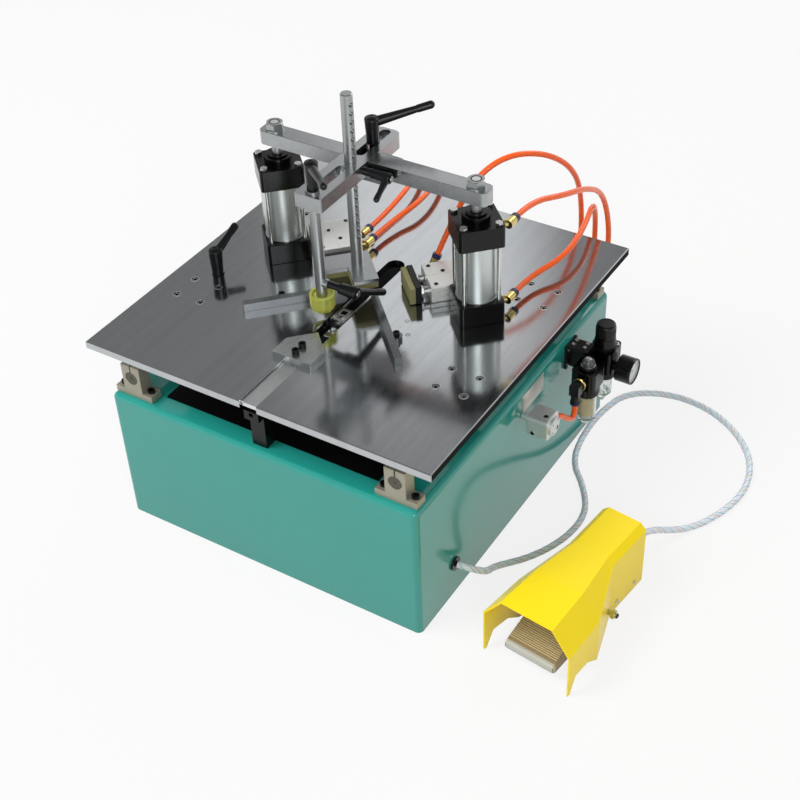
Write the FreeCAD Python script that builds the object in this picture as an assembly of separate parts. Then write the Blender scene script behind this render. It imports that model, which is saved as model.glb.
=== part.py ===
"""Pneumatic picture frame underpinner: one STEP file per node, millimetres, +Z up.

The origin is the centre of the cabinet's footprint, on the bench.  The operator stands at -Y.
A cabinet carries two guide shafts; a ground steel table slides on them.  On the table stand the
fence, two side clamps and the two press cylinders that pull the crossbar and its pressers down
on the mitre, while the driver under the table pushes a V-nail up through the head in the slot.
"""
import FreeCAD, Part
import math
import os

V = FreeCAD.Vector
X, Y, Z = V(1, 0, 0), V(0, 1, 0), V(0, 0, 1)

# ---- cabinet ----
CAB_W, CAB_D, CAB_H = 476.0, 531.0, 211.0   # outside width, depth and height
CAB_WALL = 2.0                              # folded sheet
CAB_R = 8.0                                 # edge radius
WELL_W, WELL_D = 70.0, 110.0                # opening in the cabinet top for the driver

# ---- guides between cabinet and table ----
GUIDE_IN, BLOCK_Y = 34.0, 105.5             # shafts in from the cabinet's sides; bearing blocks' centres
GUIDE_X = CAB_W / 2 - GUIDE_IN
SHAFT_R = 10.0
SHAFT_H = 31.0                              # shaft axis above the cabinet top
SUPPORT_W, SUPPORT_L, SUPPORT_FOOT = 60.0, 20.0, 10.0
SUPPORT_NECK, SUPPORT_TOP = 30.0, 51.0
SUPPORT_SLIT = 2.0
SUPPORT_PITCH = 45.0                        # its two screws
SUPPORT_INSET = 9.0                         # from the cabinet's front face
BLOCK_W, BLOCK_L = 54.0, 50.0
BLOCK_PITCH = 40.0                          # four screws on a square
BEARING_R = 16.0                            # linear ball bearing outside radius
RUN = 0.05                                  # radial running clearance
LOCK_Y, LOCK_L = -59.0, 24.0                # block that locks the table to the left shaft

# ---- table ----
TAB_W, TAB_D, TAB_T = 525.0, 536.0, 12.0
TAB_LIFT = 79.0                             # table's top above the cabinet's
TAB_TOP = CAB_H + TAB_LIFT
TAB_CHAMFER = 1.2
SLOT_W, SLOT_END = 26.0, 88.0               # centre slot, open at the front edge
SCREW_HEAD_R, SCREW_R = 5.0, 3.0            # M6 socket screws
SCREW_HEAD_H = 6.0

# ---- fence and front stop ----
FENCE_IN, FENCE_LEN = 32.0, 140.0           # start along the 45 degree line, and length
FENCE_T, FENCE_H = 10.0, 12.0
FENCE_APEX = 10.0                           # Y where the two centre lines cross
FENCE_EAR, FENCE_EAR_R = 86.0, 8.0          # screw ear, from the inner end
STOP_HALF, STOP_FRONT, STOP_SIDE, STOP_T = 29.5, -174.0, -142.0, 8.0
STOP_SCREWS = (-163.0, -148.0)

# ---- nail head, magazine and driver ----
HEAD_W, HEAD_Y0, HEAD_Y1 = 22.0, -70.0, -42.0
HEAD_SLOT_W, HEAD_SLOT_L = 3.0, 16.0
MAG_W, MAG_H, MAG_DROP = 22.0, 14.0, 16.0   # rail's top under the table's
MAG_TOP = TAB_TOP - MAG_DROP
DRIVER_SIDE, DRIVER_LEN, DRIVER_BORE_R = 63.0, 110.0, 25.0
DRIVER_ROD_R, DRIVER_STROKE = 8.0, 20.0

# ---- press cylinders ----
CYL_X, CYL_Y = 152.5, 33.5
CAP_SIDE, CAP_R = 60.5, 5.0
BASE_CAP_H, BARREL_H, TOP_CAP_H = 31.0, 85.0, 30.0
BARREL_R, BORE_R = 27.0, 24.0
TIE_R, TIE_PITCH = 3.0, 46.0
BOSS_R, BOSS_H = 19.0, 9.0
ROD_R = 7.0
PISTON_H = 18.0
PRESS_DOWN, PRESS_UP = 10.0, 40.0

# ---- crossbar and arm ----
BAR_LIFT, BAR_H, BAR_W, BAR_HALF = 192.0, 20.0, 26.0, 172.0
BAR_TOP = TAB_TOP + BAR_LIFT
BAR_R = 8.0                                 # corner radius at its ends
WASHER_R, WASHER_T = 12.5, 2.0
NUT_ACROSS, NUT_H = 21.0, 9.0
ARM_X, ARM_W, ARM_Y0, ARM_Y1 = -19.0, 40.0, -86.0, 106.0
ARM_CLEAR = 0.3
SADDLE_WALL, SADDLE_BASE = 17.0, 12.0
SADDLE_Y0, SADDLE_Y1 = 24.0, 78.0           # its base, behind the post
ARM_SLOT_W = 14.0
ARM_SLOTS = ((-79.0, -3.0), (28.0, 102.0))  # front and rear slot, from end to end

# ---- post with the rear presser, and the front presser ----
POST_R, POST_Y, POST_UP, POST_LOW = 8.0, 12.0, 287.0, 41.0
POST_TOP, POST_FOOT = TAB_TOP + POST_UP, TAB_TOP + POST_LOW
NOTCH_PITCH, NOTCH_R, NOTCH_DEEP, NOTCH_COUNT = 12.0, 3.2, 3.5, 17
NOTCH_WAY = V(0.96, -0.28, 0)
CHEVRON_SIDE, CHEVRON_W, CHEVRON_T = 70.0, 34.0, 6.0
CHEVRON_INNER = -9.6                        # Y of the inner corner
CHEVRON_PAD_T = 8.0
PRESSER_Y, PRESSER_R, PRESSER_LOW = -72.0, 7.5, 35.5
PRESSER_FOOT = TAB_TOP + PRESSER_LOW
FLANGE_R, FLANGE_T = 10.0, 3.0              # over and under the arm's front slot
CUP_H, CUP_LOW, CUP_FLOOR, CUP_SOCKET = 24.3, 13.7, 21.3, 8.0
CUP_Z = TAB_TOP + CUP_LOW
CUP_PROFILE = ((0, 0), (11, 0), (13.5, 1.2), (15.6, 3.8), (16.7, 7.5), (17, 12), (17, CUP_H), (13.5, CUP_H),
               (13.5, CUP_FLOOR), (5, CUP_FLOOR), (5, CUP_SOCKET), (0, CUP_SOCKET))
STEM_R, STEM_UP = 5.0, 60.0                 # the cup's stem, telescoping in the presser rod
CUP_BOSS_R, CUP_BOSS_OUT, CUP_BOSS_Z = 6.0, 12.5, TAB_TOP + 56.0

# ---- clamping levers: hub radius and height, neck height, and the handle from the hub's top ----
STUD_R = 6.0                                # piston rod and presser studs
LOCK_STUD_R, POST_STUD_R, CUP_STUD_R = 5.0, 4.0, 4.0
NECK_R = 5.0
LOCK_LEVER = (10.0, 40.0, 0.0, V(2, 44, 20))
ARM_LEVER = (10.0, 36.0, 0.0, V(58, 51, 16))
ARM_LEVER_Y = 65.0
POST_LEVER = (7.5, 27.0, 13.0, V(6, -35, -11))
PRESSER_LEVER = (9.0, 38.0, 0.0, V(44, -37, 5))
CUP_LEVER = (9.0, 26.0, 18.0, V(12, 50, -26))

# ---- side clamps, turned 45 degrees ----
CLAMP_PAD_AT = 51.0                         # pad face from the centre, along the push line
CLAMP_SHIFT = 18.4                          # push line off the table's diagonal
CLAMP_PAD_W, CLAMP_PAD_H, CLAMP_PAD_T = 55.0, 25.0, 8.0
CLAMP_PLATE_T = 8.0
CLAMP_BODY_AT, CLAMP_BODY_L, CLAMP_BODY_W, CLAMP_BODY_H = 80.0, 74.0, 60.0, 25.0
CLAMP_ROD_R, CLAMP_ROD_PITCH = 5.0, 30.0
CLAMP_STROKE = 10.0

# ---- air service unit, on the right wall ----
UNIT_OUT, FILTER_Y, LUBE_Y = 41.0, 168.0, 116.0      # from the wall; along it
UNIT_X = CAB_W / 2 + UNIT_OUT
UNIT_BODY, UNIT_DEPTH = 38.0, 36.0
FILTER_LOW, FILTER_TOP = CAB_H - 64.0, CAB_H - 18.0
BONNET_H, KNOB_R, KNOB_H = 17.0, 13.5, 20.7
LUBE_LOW, LUBE_TOP, OUTLET_Z = CAB_H - 60.0, CAB_H - 21.0, CAB_H - 33.0
FILTER_BOWL, LUBE_BOWL = (41.0, 13.0), (53.0, 14.0)  # length and radius
JOINER_LOW, JOINER_TOP, JOINER_HALF = CAB_H - 45.0, CAB_H - 25.0, 10.0
BRACKET_LOW, BRACKET_TOP, BRACKET_T = CAB_H - 46.0, CAB_H - 8.0, 4.0
INLET_Z = CAB_H - 39.0
GAUGE_R, GAUGE_L, GAUGE_Z = 19.0, 22.0, CAB_H - 47.0
INLET_R, INLET_DEEP = 5.7, 10.0             # quarter-inch pipe thread
ELBOW_Y, ELBOW_END, ELBOW_SIDE = 80.0, CAB_H - 58.0, 14.0
VALVE_Y, VALVE_Z, VALVE_SIDE, VALVE_L = 4.0, CAB_H - 40.0, 34.0, 30.0
VALVE_OFF = 15.0
VALVE_PORT = V(CAB_W / 2 + VALVE_OFF + VALVE_L - 9, VALVE_Y + VALVE_SIDE / 2 + 3, VALVE_Z - 10)
GROMMET_Y, GROMMET_Z, GROMMET_R = -178.0, 53.0, 7.0
REAR_PORT_X = {"left_clamp_back": -92.0, "left_clamp": -70.0, "right_clamp": 150.0, "right_base": 172.0,
               "right_top": 194.0}
REAR_PORT_Z, REAR_PORT_L = CAB_H - 15.0, 14.0

# ---- foot pedal, on the floor beside the cabinet ----
PEDAL_AT = V(CAB_W / 2 + 171.0, -33.0, 0)
PEDAL_YAW = -7.0
PEDAL_LEN, PEDAL_REAR_W, PEDAL_FRONT_W = 222.0, 66.0, 128.0
PEDAL_H, PEDAL_FRONT_H, GUARD_T = 100.0, 103.0, 2.0
AXLE_V, AXLE_Z, AXLE_R = -95.0, 26.0, 4.0
AXLE_NUT = 48.0                             # centre of each nut along the axle
TUBE_PORT_R, TUBE_PORT_Z = 8.0, 40.0
TREADLE_W = 72.0

# ---- hoses ----
HOSE_R, BUNDLE_R = 4.0, 4.5
FITTING_OUT = 14.0                          # from a port's face to the fitting's axis
ROUTES = {
    "right_top": ((188, 122, 423), (200, 182, 403), (200, 250, 378), (192, 325, 330), (194, 352, 262)),
    "right_base": ((192, 120, 305), (208, 175, 312), (205, 240, 320), (184, 315, 318), (172, 352, 262)),
    "right_clamp": ((66, 122, 362), (84, 145, 412), (113, 182, 440), (146, 238, 424), (162, 296, 372),
                    (152, 345, 290)),
    "left_clamp": ((-40, 148, 306), (-38, 215, 310), (-55, 300, 305), (-70, 352, 258)),
    "left_clamp_back": ((-69, 165, 305), (-75, 235, 310), (-92, 305, 303), (-92, 352, 256))}
LOOP_DROP = 72.0                            # how far behind its port a hose comes down
FOOT_ROUTE = ((262, -118), (298, -78), (322, -24), (326, 34), (298, 82), (260, 122), (247, 182), (247, 246),
              (262, 304), (320, 334), (384, 330), (442, 298), (484, 248), (499, 186), (486, 124), (456, 70))

CAB_TOP = CAB_H
SHAFT_Z = CAB_TOP + SHAFT_H
TAB_BOTTOM = TAB_TOP - TAB_T
BAR_BOTTOM = BAR_TOP - BAR_H
CAP_TOP = TAB_TOP + BASE_CAP_H + BARREL_H + TOP_CAP_H
SUPPORT_Y = CAB_D / 2 - SUPPORT_INSET - SUPPORT_L / 2


# ---------------------------------------------------------------- helpers
def box(x0, x1, y0, y1, z0, z1):
    return Part.makeBox(x1 - x0, y1 - y0, z1 - z0, V(x0, y0, z0))


def cyl(radius, length, base, axis=Z):
    return Part.makeCylinder(radius, length, base, axis)


def prism(points, height, axis=Z):
    return Part.Face(Part.makePolygon(points + [points[0]])).extrude(axis * height)


def at(shape, place, yaw=0.0):
    out = shape.copy()
    out.rotate(V(0, 0, 0), Z, yaw)
    out.translate(place)
    return out


def edges_along(shape, axis, test=None):
    """Straight edges parallel to an axis, and passing an optional test on their midpoint."""
    picked = []
    for edge in shape.Edges:
        if edge.Curve.TypeId != "Part::GeomLine":
            continue
        way = edge.tangentAt(edge.FirstParameter)
        if abs(abs(way.dot(axis)) - 1) < 1e-6 and (test is None or test(edge.CenterOfMass)):
            picked.append(edge)
    return picked


def mirror_x(shape):
    return shape.mirror(V(0, 0, 0), X)


def screw(head_at, length, axis=Z, head_r=SCREW_HEAD_R, shank_r=SCREW_R, head_h=SCREW_HEAD_H):
    """Socket cap screw: head_at is the seat of the head, axis points out of the head."""
    body = cyl(head_r, head_h, head_at, axis).fuse(cyl(shank_r, length, head_at - axis * length, axis))
    socket = cyl(head_r * 0.5, head_h * 0.55, head_at + axis * (head_h * 0.45), axis)
    return body.cut(socket)


def hexagon(across, height, base, axis=Z):
    points = [V(across / math.sqrt(3) * math.cos(math.radians(60 * k)),
                across / math.sqrt(3) * math.sin(math.radians(60 * k)), 0) for k in range(6)]
    nut = prism(points, height)
    nut.Placement = FreeCAD.Placement(base, FreeCAD.Rotation(Z, axis))
    return nut


def lever(stud_at, axis, form, stud_r, stud_len):
    """Adjustable clamping lever: tapered hub on a stud, and a handle that leaves the hub's top."""
    hub_r, hub_h, neck_h, handle = form
    foot = stud_at + axis * neck_h
    hub = Part.makeCone(hub_r * 0.8, hub_r, hub_h, foot, axis)
    rim = [e for e in hub.Edges if (e.CenterOfMass - foot).dot(axis) > hub_h - 0.1]
    hub = hub.makeFillet(hub_r * 0.2, rim)
    cap = cyl(hub_r * 0.5, hub_h + 1.2, foot, axis)
    root = foot + axis * (hub_h - hub_r * 0.75)
    grip = Part.makeCone(hub_r * 0.7, hub_r * 0.46, handle.Length * 0.78, root, handle)
    bulb = Part.makeCone(hub_r * 0.52, hub_r * 0.54, handle.Length * 0.23, root + handle * 0.77, handle)
    tip = Part.makeSphere(hub_r * 0.54, root + handle)
    pieces = [cap, grip, bulb, tip]
    if neck_h:
        pieces.append(cyl(NECK_R, neck_h, stud_at, axis))
    if stud_len:
        pieces.append(cyl(stud_r, stud_len, stud_at - axis * stud_len, axis))
    return hub.fuse(pieces)


def hose_path(points):
    """Straight runs joined by tangent arcs, each as large as its two runs allow."""
    edges, start, radii = [], points[0], []
    for before, corner, after in zip(points, points[1:], points[2:]):
        a, b = before - corner, after - corner
        short = min(a.Length, b.Length)
        u, w = a.normalize(), b.normalize()
        turn = math.pi - u.getAngle(w)
        cut = 0.45 * short
        radius = cut / math.tan(turn / 2)
        radii.append(radius)
        p, q = corner + u * cut, corner + w * cut
        middle = (u + w).normalize()
        centre_gap = math.hypot(radius, cut)
        edges.append(Part.LineSegment(start, p).toShape())
        edges.append(Part.Arc(p, corner + middle * (centre_gap - radius), q).toShape())
        start = q
    edges.append(Part.LineSegment(start, points[-1]).toShape())
    return Part.Wire(edges), radii


def hose(name, points, radius):
    path, radii = hose_path(points)
    first = path.Edges[0]
    ring = Part.Wire([Part.makeCircle(radius, points[0], first.tangentAt(first.FirstParameter))])
    tube = path.makePipeShell([ring], True, True)
    full = math.pi * radius ** 2 * path.Length
    print("%s: length %.0f, least radius %.0f, volume ratio %.4f"
          % (name, path.Length, min(radii), tube.Volume / full))
    return tube


# ---------------------------------------------------------------- cabinet and guides
def cabinet():
    outer = box(-CAB_W / 2, CAB_W / 2, -CAB_D / 2, CAB_D / 2, 0, CAB_H)
    top_edges = [e for e in outer.Edges if e.CenterOfMass.z > CAB_H - 1]
    outer = outer.makeFillet(CAB_R, edges_along(outer, Z) + top_edges)
    w, d = CAB_W / 2 - CAB_WALL, CAB_D / 2 - CAB_WALL
    inner = box(-w, w, -d, d, CAB_WALL, CAB_H - CAB_WALL)
    inner_top = [e for e in inner.Edges if e.CenterOfMass.z > CAB_H - CAB_WALL - 1]
    inner = inner.makeFillet(CAB_R - CAB_WALL, edges_along(inner, Z) + inner_top)
    well_y = (HEAD_Y0 + HEAD_Y1) / 2
    well = box(-WELL_W / 2, WELL_W / 2, well_y - WELL_D / 2, well_y + WELL_D / 2, CAB_H - 5, CAB_H + 1)
    gland = cyl(GROMMET_R, 10, V(CAB_W / 2 - 5, GROMMET_Y, GROMMET_Z), X)
    return outer.cut([inner, well, gland])


def shaft_support():
    """Aluminium shaft block, its base at z = 0 and its bore along Y."""
    half, neck = SUPPORT_W / 2, SUPPORT_NECK / 2
    outline = [V(-half, -SUPPORT_L / 2, 0), V(half, -SUPPORT_L / 2, 0),
               V(half, -SUPPORT_L / 2, SUPPORT_FOOT), V(neck, -SUPPORT_L / 2, SUPPORT_FOOT),
               V(neck, -SUPPORT_L / 2, SUPPORT_TOP), V(-neck, -SUPPORT_L / 2, SUPPORT_TOP),
               V(-neck, -SUPPORT_L / 2, SUPPORT_FOOT), V(-half, -SUPPORT_L / 2, SUPPORT_FOOT)]
    block = prism(outline, SUPPORT_L, Y)
    bore = cyl(SHAFT_R, SUPPORT_L, V(0, -SUPPORT_L / 2, SHAFT_H), Y)
    slit = box(-SUPPORT_SLIT / 2, SUPPORT_SLIT / 2, -SUPPORT_L / 2, SUPPORT_L / 2, SHAFT_H, SUPPORT_TOP)
    holes = [cyl(SCREW_R, SUPPORT_FOOT, V(s * SUPPORT_PITCH / 2, 0, 0)) for s in (-1, 1)]
    return block.cut([bore, slit] + holes)


def guide_parts():
    supports, screws, shafts, blocks = [], [], [], []
    for sx in (-1, 1):
        x = sx * GUIDE_X
        length = 2 * SUPPORT_Y + SUPPORT_L - 2
        shafts.append(cyl(SHAFT_R, length, V(x, -length / 2, SHAFT_Z), Y))
        for sy in (-1, 1):
            supports.append(at(shaft_support(), V(x, sy * SUPPORT_Y, CAB_TOP)))
            for s in (-1, 1):
                seat = V(x + s * SUPPORT_PITCH / 2, sy * SUPPORT_Y, CAB_TOP + SUPPORT_FOOT)
                screws.append(screw(seat, SUPPORT_FOOT, head_h=4.0))
            blocks.append(bearing_block(x, sy * BLOCK_Y, BLOCK_L))
    lock = bearing_block(-GUIDE_X, LOCK_Y, LOCK_L)
    blocks.append(lock.cut(cyl(LOCK_STUD_R, 14, V(-GUIDE_X, LOCK_Y, TAB_BOTTOM - 14))))
    return supports, screws, shafts, blocks


def bearing_block(x, y, length):
    """Block hung from the table that runs on the shaft."""
    bottom = SHAFT_Z - BEARING_R - 4
    body = box(x - BLOCK_W / 2, x + BLOCK_W / 2, y - length / 2, y + length / 2, bottom, TAB_BOTTOM)
    body = body.makeChamfer(3, edges_along(body, Y, lambda c: c.z < bottom + 1))
    return body.cut(cyl(SHAFT_R + RUN, length, V(x, y - length / 2, SHAFT_Z), Y))


# ---------------------------------------------------------------- table
def block_holes():
    return [V(sx * GUIDE_X + dx * BLOCK_PITCH / 2, sy * BLOCK_Y + dy * BLOCK_PITCH / 2, 0)
            for sx in (-1, 1) for sy in (-1, 1) for dx in (-1, 1) for dy in (-1, 1)]


def table_plate():
    plate = box(-TAB_W / 2, TAB_W / 2, -TAB_D / 2, TAB_D / 2, TAB_BOTTOM, TAB_TOP)
    rim = [e for e in plate.Edges if abs(e.CenterOfMass.z - (TAB_TOP - TAB_T / 2)) > TAB_T / 2 - 0.1]
    plate = plate.makeChamfer(TAB_CHAMFER, rim)
    slot = box(-SLOT_W / 2, SLOT_W / 2, -TAB_D / 2 - 1, SLOT_END - SLOT_W / 2, TAB_BOTTOM, TAB_TOP)
    slot = slot.fuse(cyl(SLOT_W / 2, TAB_T, V(0, SLOT_END - SLOT_W / 2, TAB_BOTTOM)))
    holes = []
    for p in block_holes():
        holes.append(cyl(SCREW_HEAD_R, TAB_T, V(p.x, p.y, TAB_BOTTOM)))
    holes.append(cyl(LOCK_STUD_R + 0.3, TAB_T, V(-GUIDE_X, LOCK_Y, TAB_BOTTOM)))
    return plate.cut([slot] + holes)


def table_screws():
    out = []
    for p in block_holes():
        shank = screw(V(p.x, p.y, TAB_TOP - SCREW_HEAD_H - 1), TAB_T - SCREW_HEAD_H - 1)
        out.append(shank)
    for side in (-1, 1):
        seat = fence_point(side, FENCE_IN + FENCE_EAR, FENCE_T / 2 + FENCE_EAR_R * 0.6)
        out.append(screw(V(seat.x, seat.y, TAB_TOP + FENCE_H * 0.5), FENCE_H * 0.5, head_r=4.5, head_h=5))
    return out


def fence_point(side, along, behind):
    """A point of a fence, by its distance from the apex and behind the centre line."""
    s = math.sqrt(0.5)
    return V(side * (along * s + behind * s), FENCE_APEX - along * s + behind * s, TAB_TOP)


def fence_bar(side):
    half = FENCE_T / 2
    corners = [fence_point(side, a, b) for a, b in
               ((FENCE_IN, -half), (FENCE_IN + FENCE_LEN, -half),
                (FENCE_IN + FENCE_LEN, half), (FENCE_IN, half))]
    bar = prism(corners, FENCE_H)
    seat = fence_point(side, FENCE_IN + FENCE_EAR, half + FENCE_EAR_R * 0.6)
    ear = cyl(FENCE_EAR_R, FENCE_H * 0.5, seat)
    hole = cyl(SCREW_R, FENCE_H * 0.5, seat)
    return bar.fuse(ear).cut(hole)


def front_stop():
    nose = STOP_SIDE + STOP_HALF
    outline = [V(-STOP_HALF, STOP_FRONT, TAB_TOP), V(STOP_HALF, STOP_FRONT, TAB_TOP),
               V(STOP_HALF, STOP_SIDE, TAB_TOP), V(0, nose, TAB_TOP), V(-STOP_HALF, STOP_SIDE, TAB_TOP)]
    plate = prism(outline, STOP_T)
    key = box(-SLOT_W / 2 + 0.3, SLOT_W / 2 - 0.3, STOP_SCREWS[0] - 8, STOP_SCREWS[1] + 8,
              TAB_BOTTOM + 2, TAB_TOP)
    holes = [cyl(SCREW_R, STOP_T + TAB_T, V(0, y, TAB_BOTTOM)) for y in STOP_SCREWS]
    return plate.fuse(key).cut(holes)


def stop_bar():
    """Bar in the slot by which the operator moves the stop."""
    half = SLOT_W / 2 - 0.3
    return box(-half, half, -TAB_D / 2 + 4, STOP_SCREWS[0] - 8, TAB_BOTTOM + 2, TAB_TOP - 3)


# ---------------------------------------------------------------- nail head and driver
def nail_head():
    y_mid = (HEAD_Y0 + HEAD_Y1) / 2
    column = box(-HEAD_W / 2, HEAD_W / 2, HEAD_Y0, HEAD_Y1, CAB_TOP + 6, TAB_TOP)
    foot = box(-42, 42, y_mid - 38, y_mid + 38, CAB_TOP, CAB_TOP + 10)
    slot = box(-HEAD_SLOT_W / 2, HEAD_SLOT_W / 2, y_mid - HEAD_SLOT_L / 2, y_mid + HEAD_SLOT_L / 2,
               CAB_TOP - 1, TAB_TOP + 1)
    well = cyl(DRIVER_ROD_R + 1, 36, V(0, y_mid, CAB_TOP - 1))
    feed = box(-3, 3, HEAD_Y0 - 1, y_mid, MAG_TOP - 8, MAG_TOP - 2)
    return column.fuse(foot).cut([slot, well, feed])


def magazine():
    """Rail that feeds the V-nails along the slot into the head."""
    front = -TAB_D / 2 + 4
    rail = box(-MAG_W / 2, MAG_W / 2, front, HEAD_Y0, MAG_TOP - MAG_H, MAG_TOP)
    groove = box(-3, 3, front - 1, HEAD_Y0, MAG_TOP - 8, MAG_TOP - 2)
    leg = box(-MAG_W / 2, MAG_W / 2, front + 10, front + 30, CAB_TOP, MAG_TOP - MAG_H)
    return rail.cut(groove).fuse(leg)


def driver_parts():
    y_mid = (HEAD_Y0 + HEAD_Y1) / 2
    top = CAB_TOP
    half = DRIVER_SIDE / 2
    body = box(-half, half, y_mid - half, y_mid + half, top - DRIVER_LEN, top)
    body = body.makeFillet(6, edges_along(body, Z))
    bore = cyl(DRIVER_BORE_R, DRIVER_LEN - 24, V(0, y_mid, top - DRIVER_LEN + 12))
    gland = cyl(DRIVER_ROD_R + RUN, 20, V(0, y_mid, top - 15))
    body = body.cut([bore, gland])
    floor = top - DRIVER_LEN + 12
    piston = cyl(DRIVER_BORE_R - RUN, 20, V(0, y_mid, floor + 0.5))
    rod = cyl(DRIVER_ROD_R, top + 8 - (floor + 20), V(0, y_mid, floor + 20.5))
    blade = box(-1.2, 1.2, y_mid - 7, y_mid + 7, top + 8, TAB_TOP - DRIVER_STROKE - 2)
    return body, piston.fuse([rod, blade])


# ---------------------------------------------------------------- press cylinders
def square(z0, height, side=CAP_SIDE, radius=CAP_R):
    """Square block on the cylinder's axis, with its corner towards the operator."""
    block = box(-side / 2, side / 2, -side / 2, side / 2, 0, height)
    block = block.makeFillet(radius, edges_along(block, Z))
    return at(block, V(CYL_X, CYL_Y, z0), 45)


def tie_points():
    h = TIE_PITCH / 2 * math.sqrt(2)
    return [V(CYL_X + h * c, CYL_Y + h * s, 0) for c, s in ((1, 0), (-1, 0), (0, 1), (0, -1))]


def cylinder_parts():
    """The right cylinder; the left one is its mirror."""
    z1 = TAB_TOP + BASE_CAP_H
    z2 = z1 + BARREL_H
    base_cap = square(TAB_TOP, BASE_CAP_H)
    barrel = cyl(BARREL_R, BARREL_H, V(CYL_X, CYL_Y, z1)).cut(cyl(BORE_R, BARREL_H, V(CYL_X, CYL_Y, z1)))
    top_cap = square(z2, TOP_CAP_H).fuse(cyl(BOSS_R, TOP_CAP_H + BOSS_H, V(CYL_X, CYL_Y, z2)))
    top_cap = top_cap.cut(cyl(ROD_R + RUN, TOP_CAP_H + BOSS_H, V(CYL_X, CYL_Y, z2)))
    cuts = [cyl(TIE_R, TOP_CAP_H, V(p.x, p.y, z2)) for p in tie_points()]
    top_cap = top_cap.cut(cuts)
    ties = []
    for p in tie_points():
        rod = cyl(TIE_R, BARREL_H + TOP_CAP_H + 3, V(p.x, p.y, z1))
        ties.append(rod.fuse(hexagon(9, 4, V(p.x, p.y, CAP_TOP))))
    piston = cyl(BORE_R - RUN, PISTON_H, V(CYL_X, CYL_Y, z1 + PRESS_DOWN + 2))
    stud_top = BAR_TOP + WASHER_T + NUT_H - 2
    shoulder = z1 + PRESS_DOWN + 2 + PISTON_H
    rod = cyl(ROD_R, BAR_BOTTOM - shoulder, V(CYL_X, CYL_Y, shoulder))
    stud = cyl(STUD_R, stud_top - BAR_BOTTOM, V(CYL_X, CYL_Y, BAR_BOTTOM))
    seat = V(CYL_X, CYL_Y, BAR_TOP)
    washer = cyl(WASHER_R, WASHER_T, seat).cut(cyl(STUD_R, WASHER_T, seat))
    seat = seat + Z * WASHER_T
    flats = NUT_ACROSS / 2
    bevel = Part.makeCone(flats + NUT_H * math.sqrt(3), flats, NUT_H, seat)
    nut = hexagon(NUT_ACROSS, NUT_H, seat).common(bevel).cut(cyl(STUD_R, NUT_H, seat))
    return base_cap, barrel, top_cap, ties, [piston.fuse([rod, stud]), washer, nut]


# ---------------------------------------------------------------- crossbar, arm and pressers
def crossbar():
    half = BAR_W / 2
    bar = box(-BAR_HALF, BAR_HALF, CYL_Y - half, CYL_Y + half, BAR_BOTTOM, BAR_TOP)
    bar = bar.makeFillet(BAR_R, edges_along(bar, Z))
    saddle_half = ARM_W / 2 + SADDLE_WALL
    gap = box(ARM_X - saddle_half, ARM_X + saddle_half, CYL_Y - half, CYL_Y + half, BAR_BOTTOM, BAR_TOP)
    holes = [cyl(STUD_R, BAR_H, V(s * CYL_X, CYL_Y, BAR_BOTTOM)) for s in (-1, 1)]
    return bar.cut([gap] + holes).Solids


def saddle():
    """U-shaped block between the bar's two halves; the arm slides in its channel."""
    half, wide, way = BAR_W / 2, ARM_W / 2 + SADDLE_WALL, ARM_W / 2 + ARM_CLEAR
    low = BAR_BOTTOM - SADDLE_BASE
    block = box(ARM_X - wide, ARM_X + wide, CYL_Y - half, CYL_Y + half, BAR_BOTTOM, BAR_TOP)
    base = box(ARM_X - wide, ARM_X + wide, SADDLE_Y0, SADDLE_Y1, low, BAR_BOTTOM)
    channel = box(ARM_X - way, ARM_X + way, CYL_Y - half, CYL_Y + half, BAR_BOTTOM, BAR_TOP)
    return block.fuse(base).cut([channel, cyl(LOCK_STUD_R, SADDLE_BASE, V(ARM_X, ARM_LEVER_Y, low))])


def arm():
    """Slotted bar that carries both pressers and slides through the crossbar's saddle."""
    low = BAR_BOTTOM + ARM_CLEAR
    bar = box(ARM_X - ARM_W / 2, ARM_X + ARM_W / 2, ARM_Y0, ARM_Y1, low, BAR_TOP)
    bar = bar.makeFillet(ARM_W * 0.3, edges_along(bar, Z, lambda c: c.y > ARM_Y1 - 1))
    bar = bar.makeFillet(ARM_W * 0.08, edges_along(bar, Z, lambda c: c.y < ARM_Y0 + 1))
    half = ARM_SLOT_W / 2
    cuts = [cyl(POST_R + RUN, BAR_H, V(ARM_X, POST_Y, low))]
    cuts.append(cyl(POST_STUD_R + 0.3, ARM_W, V(ARM_X + POST_R, POST_Y, BAR_TOP - BAR_H / 2), X))
    for y0, y1 in ARM_SLOTS:
        cuts.append(box(ARM_X - half, ARM_X + half, y0 + half, y1 - half, low, BAR_TOP))
        cuts += [cyl(half, BAR_H, V(ARM_X, y, low)) for y in (y0 + half, y1 - half)]
    return bar.cut(cuts)


def notched_post():
    post = cyl(POST_R, POST_TOP - POST_FOOT, V(ARM_X, POST_Y, POST_FOOT))
    post = post.makeChamfer(1.2, [e for e in post.Edges if e.CenterOfMass.z > POST_TOP - 1
                                  and e.Curve.TypeId == "Part::GeomCircle"])
    top = POST_TOP - 14
    floor = V(ARM_X, POST_Y, top) + NOTCH_WAY * (POST_R - NOTCH_DEEP)
    notches = [cyl(NOTCH_R, POST_R, floor - Z * (k * NOTCH_PITCH), NOTCH_WAY) for k in range(NOTCH_COUNT)]
    tang = cyl(POST_R * 0.6, CHEVRON_T, V(ARM_X, POST_Y, POST_FOOT - CHEVRON_T))
    return post.cut(notches).fuse(tang)


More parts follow.
